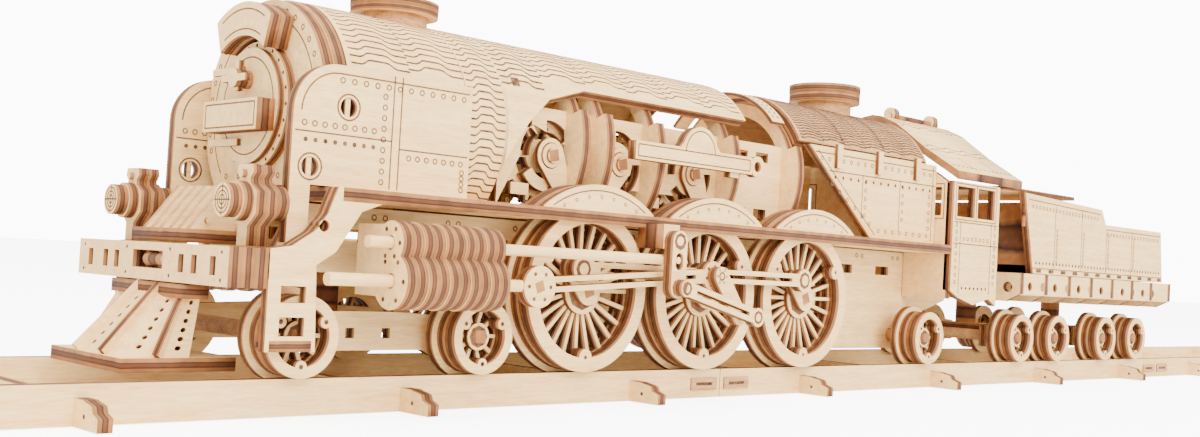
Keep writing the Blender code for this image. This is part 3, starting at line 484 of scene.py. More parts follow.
def track_section(node):
    """Two rails on edge, hooked cross ties, and the pegged plates that lock the next section on."""
    low, high = place_of(node)
    rail_low, rail_high = 26.7, 29.7
    parts = []
    for side in SIDES.values():
        parts.append(cut(rectangle((low.x, 0), (high.x, 8.0)), *layer(side, rail_low, rail_high)))
        for x in (low.x + 1.5, high.x - 12.5):
            face = side * rail_high
            parts.append(cut(rectangle((x, 2.2), (x + 11, 5.6)), face - 0.4, face + 0.4, face=DIM_AT))
            # the slot in each plate is drawn in the darkest char: partly char, partly painted shade in the slot
            parts += line_on([(x + 2, 3.9), (x + 9, 3.9)], side * 30.1, width=0.9, look=HOLE_AT)
    foot = [(27.5, 0), (40.5, 0), (40.5, 2.6), (38.2, 3.4), (37.6, 4.6), (36.4, 4.9)]
    foot += [(34.8, 5.1), (33.6, 5.4), (33.0, 5.4), (29.7, 5.4), (29.7, 5.0), (27.5, 5.0)]
    pitch = (high.x - low.x + 0.3) / 4
    for tie in range(4):
        x = low.x + (tie + 0.5) * pitch
        parts.append(cut(foot + mirrored(foot), x, x + PLY, "YZ"))
        for side in SIDES.values():
            parts += rivets([(side * 34.5, 2.4)], x, "YZ", 0.5, True)
    assemble(node, parts)


# ---------- wheels ----------

def spoked_ring(x, z, rim, inner, hub, count, low, high, spoke):
    """One plate of a wheel: a rim, a hub and straight spokes between them."""
    windows = []
    step = 360 / count
    for at in range(count):
        outer_gap = math.degrees(spoke / 2 / inner)
        inner_gap = min(math.degrees(spoke / 2 / hub), step * 0.36)
        start, end = at * step, (at + 1) * step
        window = arc((x, z), inner, start + outer_gap, end - outer_gap, 3)
        window += arc((x, z), hub, end - inner_gap, start + inner_gap, 1)
        windows.append(window)
    return cut(circle((x, z), rim, 64), low, high, holes=windows)


FLANGE, SPOKES, TREAD = (23.5, 25.9), (25.94, 28.9), (28.94, 32.7)


def wheel(side, x, z, radius, spokes, hub, rim_width, spoke):
    """Flange, spoked plates and the tread's front ring, on a square axle end."""
    parts = []
    inner = radius - rim_width
    bore = circle((x, z), inner, 40)
    parts.append(cut(circle((x, z), radius + 1.5, 64), *layer(side, *FLANGE), holes=(bore,)))
    parts.append(spoked_ring(x, z, radius, inner, hub, spokes, *layer(side, *SPOKES), spoke))
    opening = circle((x, z), inner, 48)
    parts.append(cut(circle((x, z), radius, 64), *layer(side, *TREAD), holes=(opening,)))
    for angle in (30, 150, 270):
        peg = around(x, z, inner - 0.2, angle)
        parts.append(cut(circle(peg, rim_width * 0.6, 16), *layer(side, TREAD[0], 32.68)))
        parts += rivets([peg], side * TREAD[1], radius=0.55, filled=True)
    return parts


def carrier_wheels(node):
    low, high = place_of(node)
    x, z = (low.x + high.x) / 2, (low.z + high.z) / 2
    # the axle's side is in the darker veneer: painted shade under the body
    parts = [dowel((x, 0, z), 2.0, 46, edge=DIM_AT)]
    for side in SIDES.values():
        parts += wheel(side, x, z, radius=8.9, spokes=10, hub=3.0, rim_width=2.3, spoke=0.9)
        parts.append(cut(circle((x, z), 3.3, 20), *layer(side, 28.94, 30.6)))
        parts.append(cut(square((x, z), 3.0), *layer(side, 20.0, 31.6), face=EDGE_AT))
        parts += rivets([(x, z)], side * 30.62, radius=2.7)
    assemble(node, parts)


CRANK = 7.8
COUPLING, MAIN, RETURN = 33.0, 36.3, 39.6
LINK, ECCENTRIC = 42.9, 46.2
CRANK_ANGLE = {"left": 135, "right": 45}


def return_pin(name, x, z):
    """Where the return crank holds the eccentric rod."""
    return around(x, z, 6.0, CRANK_ANGLE[name] + 165)


def driver_places():
    """The three axles as (x, z), from their nodes' boxes, which the treads and not the pins set."""
    places = []
    for name in ("front", "middle", "rear"):
        low, high = place_of(f"driving_wheels_{name}")
        places.append(((low.x + high.x) / 2, (low.z + high.z) / 2))
    return places


def driving_wheels(node, x, z, middle):
    # the axle's side is in the darker veneer: painted shade under the body
    parts = [dowel((x, 0, z), 2.0, 46, edge=DIM_AT)]
    for name, side in SIDES.items():
        parts += wheel(side, x, z, radius=20.9, spokes=24, hub=5.2, rim_width=3.6, spoke=1.05)
        parts.append(cut(circle((x, z), 6.2, 32), *layer(side, 28.94, 30.4)))
        parts += rivets([(x, z)], side * 30.42, radius=5.2)
        pin = around(x, z, CRANK, CRANK_ANGLE[name])
        web = round_bar((x, z), pin, (3.8, 3.2))
        parts.append(cut(web, *layer(side, 30.42, 32.68)))
        parts.append(cut(square((x, z), 3.2, 20), *layer(side, 30.0, 32.75), face=EDGE_AT))
        end = RETURN if middle else COUPLING + PLY + 0.2
        parts.append(dowel((pin[0], side * (32 + end) / 2, pin[1]), 1.55, end - 32))
        if middle:
            back = return_pin(name, x, z)
            parts.append(cut(round_bar(pin, back, (2.6, 2.6)), *layer(side, RETURN, RETURN + PLY)))
            reach = ECCENTRIC + PLY - RETURN - 0.05
            parts.append(dowel((back[0], side * (RETURN + reach / 2), back[1]), 1.25, reach))
            parts += rivets([pin], side * (RETURN + PLY), radius=1.3)
            screws = [around(*pin, 1.9, a) for a in range(0, 360, 60)]
            parts += rivets(screws, side * (RETURN + PLY), radius=0.4)
    assemble(node, parts)


# ---------- rods ----------

def pierced_boss(centre, radius, side, place):
    """A ring of peg holes round a boss."""
    return rivets([around(*centre, radius * 0.68, a) for a in range(15, 375, 60)], side * place, radius=0.45,
                  filled=True)


def slim_rod(first, second, radii, side, near, slot_ends, hole=1.9):
    """A rod with bossed ends and a long slot, so that it reads as two thin bars."""
    along = (Vector(second) - Vector(first)).normalized()
    across = Vector((-along.y, along.x))
    start = Vector(first) + along * slot_ends
    end = Vector(second) - along * slot_ends
    half = 0.55
    slot = [start + across * half, start - across * half, end - across * half, end + across * half]
    bar = [Vector(first) + across * 1.9, Vector(first) - across * 1.9,
           Vector(second) - across * 1.9, Vector(second) + across * 1.9]
    near, far = layer(side, near, near + PLY)
    parts = [cut([tuple(p) for p in bar], near + 0.02, far - 0.02, holes=([tuple(p) for p in slot],))]
    for centre, radius in ((first, radii[0]), (second, radii[1])):
        parts.append(cut(circle(centre, radius, 28), near, far, holes=(circle(centre, hole, 14),)))
    return parts


def rods(name, axles):
    side = SIDES[name]
    pins = [around(x, z, CRANK, CRANK_ANGLE[name]) for x, z in axles]
    parts = slim_rod(pins[0], pins[1], (3.4, 3.4), side, COUPLING, 6)
    parts += slim_rod(pins[1], pins[2], (3.4, 3.4), side, COUPLING, 6)
    for pin in pins:
        parts += rivets([pin], side * (COUPLING + PLY), radius=2.6)
    assemble(f"coupling_rod_{name}", parts)

    low, high = place_of(f"crosshead_{name}")
    head = (high.x - 5.0, 30.0)
    big = pins[1]
    parts = slim_rod(big, head, (4.0, 2.6), side, MAIN, 7)
    parts += pierced_boss(big, 4.0, side, MAIN + PLY)
    assemble(f"main_rod_{name}", parts)

    y = (low.y + high.y) / 2
    near, far = layer(side, abs(y) - PLY / 2, abs(y) + PLY / 2)
    parts = [cut(circle(head, 5.0, 32), near, far)]
    parts.append(cut(square(head, 2.6, 20), near - 0.02, far + 0.02, face=EDGE_AT))
    parts += rivets([around(*head, 3.4, a) for a in range(0, 360, 60)], side * (abs(y) + PLY / 2), radius=0.5,
                    filled=True)
    length = head[0] - low.x
    parts.append(dowel((head[0] - length / 2, y, head[1]), 1.4, length, "X", edge=FACE_AT))
    assemble(f"crosshead_{name}", parts)

    low, high = place_of(f"valve_link_{name}")
    x, foot, top = (low.x + high.x) / 2, low.z + 2.8, high.z - 2.8
    near, far = layer(side, LINK, LINK + PLY)
    slot = round_bar((x, 37.1), (x, 38.9), (1.4, 1.4), 6)
    parts = [cut(round_bar((x, foot), (x, top), (2.8, 2.8)), near, far,
                 holes=(slot, circle((x, top), 1.6, 14), circle((x, foot), 1.3, 14)))]
    parts += rivets([(x, foot), (x, top)], side * (LINK + PLY), radius=2.3)
    assemble(f"valve_link_{name}", parts)

    low, high = place_of(f"valve_rod_{name}")
    length = x + 2.0 - low.x
    radius, z = 1.3, 38.3
    y = side * (RETURN + radius + 0.3)
    parts = [dowel((low.x + length / 2, y, z), radius, length, "X", edge=FACE_AT)]
    parts.append(dowel((x, side * 43.3, z), 0.9, 4.4))
    assemble(f"valve_rod_{name}", parts)

    back = return_pin(name, *axles[1])
    parts = slim_rod(back, (x, foot), (2.6, 2.2), side, ECCENTRIC - 0.1, 4, 1.55)
    parts += rivets([back, (x, foot)], side * (ECCENTRIC - 0.1 + PLY), radius=1.9)
    assemble(f"eccentric_rod_{name}", parts)


# ---------- bogies ----------

def bogie(node, axles, pivot_top):
    low, high = place_of(node)
    z = 17.2
    middle = (low.x + high.x) / 2
    parts = []
    outline = [(low.x, z - 4), (high.x, z - 4), (high.x, z + 4), (middle + 7, z + 5), (middle - 7, z + 5),
               (low.x, z + 4)]
    holes = [circle((x, z), 2.3, 14) for x in axles]
    holes += [rectangle((x - 1.2, z - 1.2), (x + 1.2, z + 1.2)) for x in (middle - 5, middle + 5)]
    for side in SIDES.values():
        parts.append(cut(outline, *layer(side, 17.5, 17.5 + PLY), holes=holes))
    parts.append(block((middle - 6, -19, z + 1), (middle + 6, 19, z + 4)))
    parts.append(dowel((middle, 0, (z + 2.5 + pivot_top) / 2), 4.0, pivot_top - z - 2.5, "Z"))
    assemble(node, parts)


# ---------- locomotive frame and front ----------

def main_frame(node):
    outline = [(-301.9, 30.8), (-301.9, 34.6), (-290.2, 34.6), (-284.2, 46.3), (-8.0, 46.3), (-8.0, 30.0),
               (-29.5, 24.0), (-31.5, 12.5), (-85.5, 12.5), (-91.5, 20.0), (-219.4, 20.0), (-231.4, 30.8)]
    holes = [circle(place, 2.3, 14) for place in driver_places()] + [circle((-43.5, 17.2), 2.3, 14)]
    holes += [rectangle((x - 4, 38), (x + 4, 41)) for x in range(-270, -20, 22)]
    parts = []
    for side in SIDES.values():
        parts.append(cut(outline, *layer(side, 13.4, 16.4), holes=holes))
        for x in range(-262, -30, 22):
            parts += rivets([(x - 1.6, 44.2), (x + 1.6, 44.2)], side * 16.4)
    for x in (-246.2, -184.3, -138.1, -91.9, -55.1, -16.0):
        parts.append(cut(rectangle((-14.4, 33), (14.4, 42.3)), x, x + PLY, "YZ"))
    parts.append(block((-274.2, -14.4, 30.8), (-258.2, 14.4, 33.8)))
    assemble(node, parts)


def buffer_beam(node):
    """Three plies of beam with square holes, and a dowel lying in the slot in the middle."""
    low, high = place_of(node)
    holes = []
    for side in SIDES.values():
        for y in (15.6, 21.4, 29.5):
            holes.append(rectangle((side * y - 1.2, low.z + 2.2), (side * y + 1.2, high.z - 2.2)))
    parts = []
    outline = rectangle((low.y, low.z), (high.y, high.z))
    for index in range(3):
        x = low.x + index * PLY
        slot = [rectangle((-7.2, low.z + 2.6), (7.2, high.z - 1.8))] if index < 2 else []
        parts.append(cut(outline, x, x + PLY - 0.04, "YZ", holes + slot))
    parts.append(dowel((low.x + 1.4, -2.2, low.z + 4.6), 1.5, 8.6))
    for side in SIDES.values():
        for y in (10.5, 33.0):
            parts += rivets([(side * y, z) for z in (low.z + 1.3, high.z - 1.3)], low.x, "YZ", 0.4, True)
    assemble(node, parts)


def leaf(corners, thickness, rows, radius=0.62):
    """A thin panel between four corners (foot first, then head), with rows of round holes up its length."""
    foot_a, foot_b, head_a, head_b = [Vector(corner) for corner in corners]
    width = ((foot_b - foot_a).length + (head_b - head_a).length) / 2
    height = (head_a - foot_a).length
    holes = []
    for across in rows:
        for step in range(1, 8):
            hole = [math.radians(turn) for turn in range(0, 360, 45)]
            holes.append([(across + radius / width * math.cos(a), step / 8 + radius / height * math.sin(a))
                          for a in hole])
    panel = cut([(0, 0), (1, 0), (1, 1), (0, 1)], 0, thickness, "XY", holes)
    out = (foot_b - foot_a).cross(head_a - foot_a).normalized()
    for vertex in panel.data.vertices:
        u, v, w = vertex.co / MM
        foot = foot_a.lerp(foot_b, u)
        head = head_a.lerp(head_b, u)
        vertex.co = (foot.lerp(head, v) - out * w) * MM
    return panel


def strut(foot, head, out, width, depth):
    """A flat bar on edge from foot to head, standing out from a panel."""
    foot, head, out = Vector(foot), Vector(head), Vector(out)
    along = (head - foot).normalized()
    across = along.cross(out).normalized()
    out = across.cross(along)
    bar = cut(rectangle((0, -depth / 2), ((head - foot).length, depth / 2)), -width / 2, width / 2, "XY")
    turn = Matrix((along, out, -across)).transposed().to_4x4()
    if turn.determinant() < 0:
        turn = Matrix((along, out, across)).transposed().to_4x4()
    bar.data.transform(turn)
    return moved([bar], foot)[0]


def cowcatcher(node):
    """A base plate, pierced panels fanning down to it from the beam, and a rib over each seam."""
    low, high = place_of(node)
    base, top, half = low.z + PLY, high.z, high.y
    front = low.x
    parts = [cut(rectangle((front, -half), (high.x, half)), low.z, base, "XY")]
    parts.append(block((-311.0, -half, top - PLY), (-305.4, half, top - 0.05)))
    feet = [(-308.5, -half + 0.9, base), (-315.5, -half + 0.9, base), (front + 1.2, -6.6, base),
            (front + 1.2, 6.6, base), (-315.5, half - 0.9, base), (-308.5, half - 0.9, base)]
    heads = [(-306.5, -half + 0.9, top), (-307.8, -13.4, top), (-309.0, -4.6, top), (-309.0, 4.6, top),
             (-307.8, 13.4, top), (-306.5, half - 0.9, top)]
    for at in range(5):
        rows = (0.34, 0.7) if at == 2 else (0.55,)
        parts.append(leaf((feet[at + 1], feet[at], heads[at + 1], heads[at]), 1.4, rows))
    for foot, head, turn in zip(feet[1:-1], heads[1:-1], (-0.75, -0.35, 0.35, 0.75)):
        parts.append(strut(foot, head, (-1, turn, 0.35), 1.5, 3.0))
    for side in SIDES.values():
        near, far = layer(side, 9, 11)
        parts.append(block((-307.9, near, base), (-305.6, far, top)))
    assemble(node, parts)


def front_grille(node):
    low, high = place_of(node)
    parts = [block((low.x, low.y, low.z), (high.x - 1, high.y, low.z + PLY))]
    for y in (-10.6, -6.4, -2.2, 2.2, 6.4, 10.6):
        slat = [(low.x, low.z + 1), (low.x + 3, low.z + 4.5), (low.x + 9.5, high.z), (high.x, high.z),
                (high.x, high.z - 3), (low.x + 11, low.z + 1)]
        # the slats' cut edges are in the darker veneer: painted shade between the slats
        parts.append(cut(slat, y - 0.9, y + 0.9, edge=DIM_AT))
    for x, z in ((low.x + 5.5, low.z + 5.0), (low.x + 9.5, low.z + 9.3)):
        parts.append(dowel((x, 0, z), 0.7, high.y - low.y - 1, sides=8))
    assemble(node, parts)


def lantern(node, side):
    """A stack of discs hung in a bottle-shaped plate of two plies."""
    low, _ = place_of(node)
    y, z = side * 26.7, 45.2
    parts = []
    for index, radius in enumerate((3.6, 4.2, 4.4, 4.4, 3.7)):
        x = low.x + index * 2.78
        parts.append(cut(circle((y, z), radius, 32), x, x + 2.7, "YZ"))
    for radius in (2.8, 1.9, 1.0):
        parts += line_on(arc((y, z), radius, 0, 360, 20), low.x, "YZ", 0.3)
    for u, v in ((1, 0), (0, 1)):
        parts += line_on([(y - 3.3 * u, z - 3.3 * v), (y + 3.3 * u, z + 3.3 * v)], low.x, "YZ", 0.3)
    right = [(2.0, 35.9), (2.0, 40.0), (5.2, 42.6), (5.2, 47.4), (2.5, 49.0), (2.2, 50.2), (3.5, 51.4),
             (3.0, 53.0)]
    hanger = [(y + u, v) for u, v in right] + [(y - u, v) for u, v in reversed(right)]
    for x in (low.x + 5.0, low.x + 7.55):
        parts.append(cut(hanger, x, x + 2.5, "YZ", (circle((y, 51.0), 0.9, 12),)))
    parts.append(dowel((low.x + 7.5, y, 51.0), 0.85, 7.0, "X"))
    assemble(node, parts)


def cylinder(node, side):
    """Valve chest and cylinder: one outline cut ten times and glued into a stack."""
    low, high = place_of(node)
    upper, lower = (41.2, 38.3), (42.0, 30.0)
    outline = [(28.7, 26.5)] + arc(lower, 6.3, 213.7, 420, 18) + arc(upper, 4.8, -35, 123.6, 14) + [(28.7, 42.3)]
    bores = [circle(upper, 1.6, 14), circle(lower, 1.7, 14)]
    if side < 0:
        outline, bores = mirrored(outline), [mirrored(bore) for bore in bores]
    count = 10
    pitch = (high.x - low.x) / count
    parts = []
    for index in range(count):
        inset = 0.25 * (index % 2)
        centre = (side * 37, 33.5)
        ring = [(centre[0] + (u - centre[0]) * (1 - inset / 9), centre[1] + (v - centre[1]) * (1 - inset / 9))
                for u, v in outline]
        parts.append(cut(ring, low.x + index * pitch, low.x + (index + 1) * pitch - 0.04, "YZ", bores))
    for centre, radius in ((upper, 3.4), (lower, 4.7)):
        spots = [around(side * centre[0], centre[1], radius, a) for a in range(0, 360, 60)]
        for x in (low.x, high.x - 0.04):
            parts += rivets(spots, x, "YZ", 0.55, True)
    assemble(node, parts)


# ---------- running boards ----------

def running_board(node, side):
    """The long board, its curved front, the step, and a hollow splasher over each driving wheel."""
    inner, outer, top, bottom = 21.0, 36.0, 49.6, 46.6
    low, high = layer(side, inner, outer)
    near, far = layer(side, 22.6, 33.3)
    openings = [rectangle((x - 17, near), (x + 17, far)) for x, _ in driver_places()]
    parts = [cut(rectangle((-285.2, low), (-37.4, high)), bottom, top, "XY", openings)]
    front = -301.9
    curve = [(front, 35.6), (front + 5, 36.4), (front + 10, 39.6), (front + 13.2, 43.6), (-286.4, 49.6)]
    curve += [(-275.2, 49.6), (-275.2, 46.5), (-280.2, 44.6), (-286.2, 35.6), (front + 9, 31.3), (front, 29.3)]
    holes = (circle((-289.5, 41.0), 1.3, 14),)
    parts.append(cut(curve, *layer(side, 31.5, 33.7), holes=holes))
    parts.append(cut(curve, *layer(side, 33.75, SIDE_OUT), holes=holes))
    step = [(front, 14.3), (front + 12, 14.3), (front + 11, 34.6), (front, 34.6)]
    windows = (rectangle((front + 3, 17.5), (front + 9, 21.5)), rectangle((front + 3, 24.5), (front + 9, 28.0)))
    parts.append(cut(step, *layer(side, 33.45, 35.88), holes=windows))
    near, far = layer(side, 30.5, 35.9)
    parts.append(block((front + 1, near, 14.3), (front + 11, far, 16.6)))
    arches = []
    for x, _ in driver_places():
        arch = arc((x, 24.0), 32.5, 127, 53, 20)
        foot = [(arch[-1][0], 49.0), (arch[0][0], 49.0)]
        parts.append(cut(arch + foot, *layer(side, 33.3, 35.5)))
        cover = arch + foot[:1] + arc((x, 24.0), 29.5, 56.5, 123.5, 20) + foot[1:]
        # the inner plate under the arch is in the darker veneer: painted shade inside the splasher
        parts.append(cut(cover, *layer(side, 27.0, 33.26), face=DIM_AT))
        arches += line_on(arc((x, 24.0), 31.0, 122, 58, 10), side * 35.5)
        parts += rivets(arc((x, 24.0), 29.4, 116, 64, 6), side * 35.5, radius=0.5)
    parts += arches
    link = -188.0
    parts.append(cut(rectangle((link - 3, 41.2), (link + 3, 47.6)), *layer(side, 33.3, 42.6)))
    parts.append(dowel((link, side * 40.9, 43.4), 1.3, 10.0))
    assemble(node, parts)


# ---------- smokebox ----------

def smoke_deflector(node, side):
    front, rear, foot, top, corner = -294.3, -246.0, BOARD_TOP, 76.8, 11.0
    outline = [(rear, foot), (rear, top)] + arc((front + corner, top - corner), corner, 90, 180, 14)
    outline += [(front, 37.0), (-289.2, 37.0), (-289.2, foot)]
    eyes = ((-280.5, 67.7), (-289.5, 53.8))
    parts = [cut(outline, *layer(side, 25.8, 28.74), holes=[circle(eye, 2.2, 20) for eye in eyes])]
    for place in (side * 28.74, side * 25.8):
        parts += line_on([(-268.6, foot + 0.5), (-268.6, top - 0.5)], place)
        parts += line_on([(-266.4, foot + 0.5), (-266.4, top - 0.5)], place)
        parts += line_on([(-268.6, 61.4), (front + 0.6, 61.4)], place)
        parts += line_on([(-266.4, 59.8), (rear - 0.5, 59.8)], place)
        parts += line_on(arc((front + corner, top - corner), corner - 1.9, 90, 180, 8), place)
        parts += line_on([(rear - 0.8, top - 1.9), (front + corner, top - 1.9)], place)
        parts += rivet_row((-282.5, top - 3.3), (-248.5, top - 3.3), 12, place)
        parts += rivet_row((-270.9, foot + 2), (-270.9, top - 5.5), 9, place)
        parts += rivet_row((-291.5, 63.2), (-273.5, 63.2), 8, place)
        parts += rivet_row((-291.0, 59.6), (-273.5, 59.6), 8, place, 0.55, filled=True)
        parts += rivet_row((-263.6, 58.0), (-248.5, 58.0), 7, place)
        parts += rivet_row((-248.0, foot + 2), (-248.0, 56), 4, place)
        for eye in eyes:
            parts.append(cut(circle(eye, 3.1, 20), place - SKIN, place + SKIN, holes=(circle(eye, 2.7, 20),),
                             face=CHAR_AT, edge=CHAR_AT))
    parts.append(cut(rectangle((-281.1, 65.6), (-279.9, 69.8)), *layer(side, 26.4, 28.2)))
    parts.append(cut(rectangle((-290.1, 51.7), (-288.9, 55.9)), *layer(side, 26.4, 28.2)))
    assemble(node, parts)


def smokebox_front(node):
    low, high = place_of(node)
    lowest = math.degrees(math.asin((BOARD_TOP - BOILER_Z) / BOILER_R))
    parts = []
    for index, radius in enumerate((26.7, BOILER_R)):
        rim = arc((0, BOILER_Z), radius, lowest, 180 - lowest, 56)
        outline = [(max(low.y, min(high.y, y)), max(low.z, z)) for y, z in rim]
        x = low.x + index * PLY
        parts.append(cut(outline, x, x + PLY - 0.04, "YZ"))
    spots = [around(0, BOILER_Z, 24.6, a) for a in range(-20, 201, 10)]
    parts += rivets([spot for spot in spots if abs(spot[0]) < 24.3], low.x, "YZ", 0.75)
    parts += line_on(arc((0, BOILER_Z), 22.6, -38, 218, 48), low.x, "YZ")
    parts += rivets([(y, 52.4) for y in (-15, -9, -3, 3, 9, 15)], low.x, "YZ", 0.75)
    assemble(node, parts)


def headboard(node):
    low, high = place_of(node)
    lower = arc((0, 68.4), 16.1, 128, 52, 24)
    upper = arc((0, 71.4), 21.0, 54, 126, 24)
    parts = [cut(lower + upper, low.x, low.x + 2.9, "YZ"), cut(lower + upper, low.x + 2.95, high.x, "YZ")]
    parts += line_on(arc((0, 71.4), 19.3, 60, 120, 12), low.x, "YZ")
    parts += line_on(arc((0, 68.4), 17.6, 118, 62, 12), low.x, "YZ")
    assemble(node, parts)


def smokebox_door(node):
    """A raised round door in two rings, with hinges, a latch and a blank plate block."""
    z = 68.4
    back, face = place_of(node)[1].x, -289.7
    parts = [cut(circle((0, z), 15.2, 56), back - 2.0, back, "YZ")]
    parts.append(cut(circle((0, z), 13.6, 56), face + 0.3, back - 2.04, "YZ"))
    parts += rivets([around(0, z, 14.4, a) for a in range(0, 360, 15)], back - 2.0, "YZ", 0.45, True)
    parts += line_on(arc((0, z), 11.4, 0, 360, 40), face + 0.3, "YZ")
    for height in (z + 8.5, z - 8.5):
        parts.append(cut(rectangle((2.0, height - 0.8), (15.6, height + 0.8)), face - 0.8, face + 0.28, "YZ"))
    parts.append(cut(rectangle((-12.3, 62.1), (12.3, 69.3)), face - 4.2, face + 0.28, "YZ"))
    parts += line_on(frame_line((-11.2, 63.0), (11.2, 68.4)), face - 4.2, "YZ")
    parts.append(dowel((face - 1.9, 0, 74.4), 2.2, 4.0, "X"))
    parts.append(cut(rectangle((-5.5, 73.6), (5.5, 75.2)), face - 3.9, face - 2.2, "YZ"))
    parts.append(cut(rectangle((-0.8, 71.5), (0.8, 78.6)), face - 3.0, face - 1.6, "YZ"))
    assemble(node, parts)


# ---------- boiler ----------

def wrapped(item, radius, middle_z):
    """Bends a flat sheet round the boiler's axis: Y becomes the distance along the arc, Z the way out."""
    for vertex in item.data.vertices:
        x, along, out = vertex.co / MM
        angle = along / radius
        reach = radius + out
        vertex.co = Vector((x, reach * math.sin(angle), middle_z + reach * math.cos(angle))) * MM
    return item


def slit(start, period, rise, width):
    """One flexible slit: a flat, a step up, a plateau and a step back, a little longer than its period."""
    x, y = start
    spine = [(0, 0), (0.18, 0), (0.25, 0.35 * rise), (0.31, 0.9 * rise), (0.36, rise), (0.62, rise),
             (0.68, 0.85 * rise), (0.76, 0.2 * rise), (0.82, 0), (1.04, 0)]
    upper = [(x + u * period, y + v + width / 2) for u, v in spine]
    lower = [(x + u * period, y + v - width / 2) for u, v in spine]
    return upper[::-1] + lower


def slit_sheet(spans, pitch, period, rise, width, radius, look=HOLE_AT):
    """Slits over a bent sheet. Each span is (first x, last x, half the arc they cover in millimetres). The slits
    are drawn in the darkest char, partly painted shade through the cut.
    """
    slits = []
    for first, last, reach in spans:
        columns = max(1, round((last - first) / period))
        length = (last - first) / columns
        for column in range(columns):
            for line in range(int(2 * reach / pitch)):
                place = (first + column * length, -reach + (line + 0.4 + 0.4 * (column % 2)) * pitch)
                slits.append(slit(place, length * 0.985, rise, width))
    return wrapped(cut(slits[0], -SKIN, SKIN, "XY", slits[1:], look, look), radius, BOILER_Z)


def boiler_cladding(node):
    beside = math.degrees(math.acos(25.5 / BOILER_R))
    board = math.degrees(math.asin((BOARD_TOP - BOILER_Z) / (BOILER_R - PLY)))
    stations = [(-279.3, beside), (-245.7, beside), (-245.4, board), (-233.7, board), (-232.7, -15.0),
                (-225.7, 8.0), (-217.7, 23.0), (-203.7, 33.0), (-136.0, 33.0)]
    parts = [shell(BOILER_R, BOILER_R - PLY, BOILER_Z, stations, 48)]
    quarter = BOILER_R * math.pi / 2

    def reach(lowest):
        return quarter - BOILER_R * math.radians(lowest) - 1.5

    spans = [(-278.0, -246.0, reach(beside)), (-245.0, -234.0, reach(-42)), (-233.0, -219.0, reach(24)),
             (-218.6, -137.5, reach(34))]
    parts.append(slit_sheet(spans, 2.0, 15.0, 1.4, 0.46, BOILER_R))
    for side in SIDES.values():
        # a small square in the darkest char: partly char, partly painted shade
        flap = cut(rectangle((-229.4, side * 28.0 - 1.2), (-227.0, side * 28.0 + 1.2)), -SKIN, 0.08, "XY",
                   face=HOLE_AT, edge=HOLE_AT)
        parts.append(wrapped(flap, BOILER_R, BOILER_Z))
    assemble(node, parts)


HUBS = (-213.2, -187.6, -157.3)
HUB_Z = 63.8


def boiler_ribs(node):
    """Arched ribs on two long plates. Arms and curved slots on the plates show where the gears run."""
    outer, inside = BOILER_R, BOILER_R - 2 * PLY - 0.6
    under = outer - PLY - 0.3
    lowest = math.degrees(math.asin((BOARD_TOP - BOILER_Z) / outer))
    parts = []
    for x in (-205.7, -196.8, -176.6, -144.1, -113.1):
        centre = (0, BOILER_Z)
        outline = arc(centre, outer, lowest, 20, 14) + arc(centre, under, 20, 160, 40)
        outline += arc(centre, outer, 160, 180 - lowest, 14)
        outline += [(-19.0, BOARD_TOP), (-19.0, 53)] + arc(centre, inside - 0.6, 200, -20, 36)
        outline += [(19.0, 53), (19.0, BOARD_TOP)]
        parts.append(cut(outline, x - PLY / 2, x + PLY / 2, "YZ"))
    plate = rectangle((-229.7, BOARD_TOP), (-111.6, 76.2))
    holes = []
    for x in HUBS:
        holes.append(circle((x, HUB_Z), 2.3, 16))
        for angle in (35, 125, 215, 305):
            holes.append(wedge((x, HUB_Z), 6.2, 9.4, angle, angle + 60, 6))
    for x in (-222, -172.5, -134, -124):
        holes.append(rectangle((x - 3, 53), (x + 3, 56)))
        holes.append(rectangle((x - 3, 70.5), (x + 3, 73.5)))
    for side in SIDES.values():
        parts.append(cut(plate, *layer(side, 17.1, 20.0), holes=holes))
        for x, tilt in zip(HUBS, (-62, -118, -66)):
            end = around(x, HUB_Z, 15.5, tilt)
            arm = round_bar((x, HUB_Z), (end[0], max(end[1], 51.5)), (4.6, 2.2), 14)
            parts.append(cut(arm, *layer(side, 20.04, 21.6), holes=(circle((x, HUB_Z), 3.5, 20),)))
        parts += rivets([(x, 51.3) for x in range(-226, -112, 6)], side * 20.0, radius=0.6)
    parts.append(shell(outer - 0.3, outer - 1.6, BOILER_Z, [(-121.0, 38), (-115.0, 38)], 30))
    # dots in the darkest char: partly char, partly painted shade in each hole
    dots = [circle((x, s), 0.45, 8) for x in (-119.3, -116.7) for s in range(-22, 23, 2)]
    parts.append(wrapped(cut(dots[0], -SKIN, SKIN, "XY", dots[1:], HOLE_AT, HOLE_AT), outer - 0.3, BOILER_Z))
    parts.append(block((-136, -19.5, 73), (-111.7, 19.5, 75.8)))
    assemble(node, parts)


def gear_outline(centre, root, tip, teeth):
    points = []
    step = 360 / teeth
    for tooth in range(teeth):
        start = tooth * step
        points += [around(*centre, root, start), around(*centre, root, start + step * 0.42)]
        points += [around(*centre, tip, start + step * 0.58), around(*centre, tip, start + step * 0.86)]
    return points


def boiler_gear(node, x, level):
    parts = [dowel((x, 0, HUB_Z), 2.0, 45.6)]
    inner = BOILER_R - 2 * PLY - 1.1 - (PLY + 0.3) * (level + 1) - PLY
    windows = [wedge((x, HUB_Z), 4.4, 8.2, a + 8, a + 52, 5) for a in range(0, 360, 60)]
    for side in SIDES.values():
        teeth = gear_outline((x, HUB_Z), 10.7, 12.35, 28)
        parts.append(cut(teeth, *layer(side, inner, inner + PLY), holes=windows))
        parts.append(cut(circle((x, HUB_Z), 3.2, 24), *layer(side, 20.1, 22.0)))
        parts.append(cut(square((x, HUB_Z), 3.0, 12), *layer(side, 21.9, 23.0), face=EDGE_AT))
    assemble(node, parts)


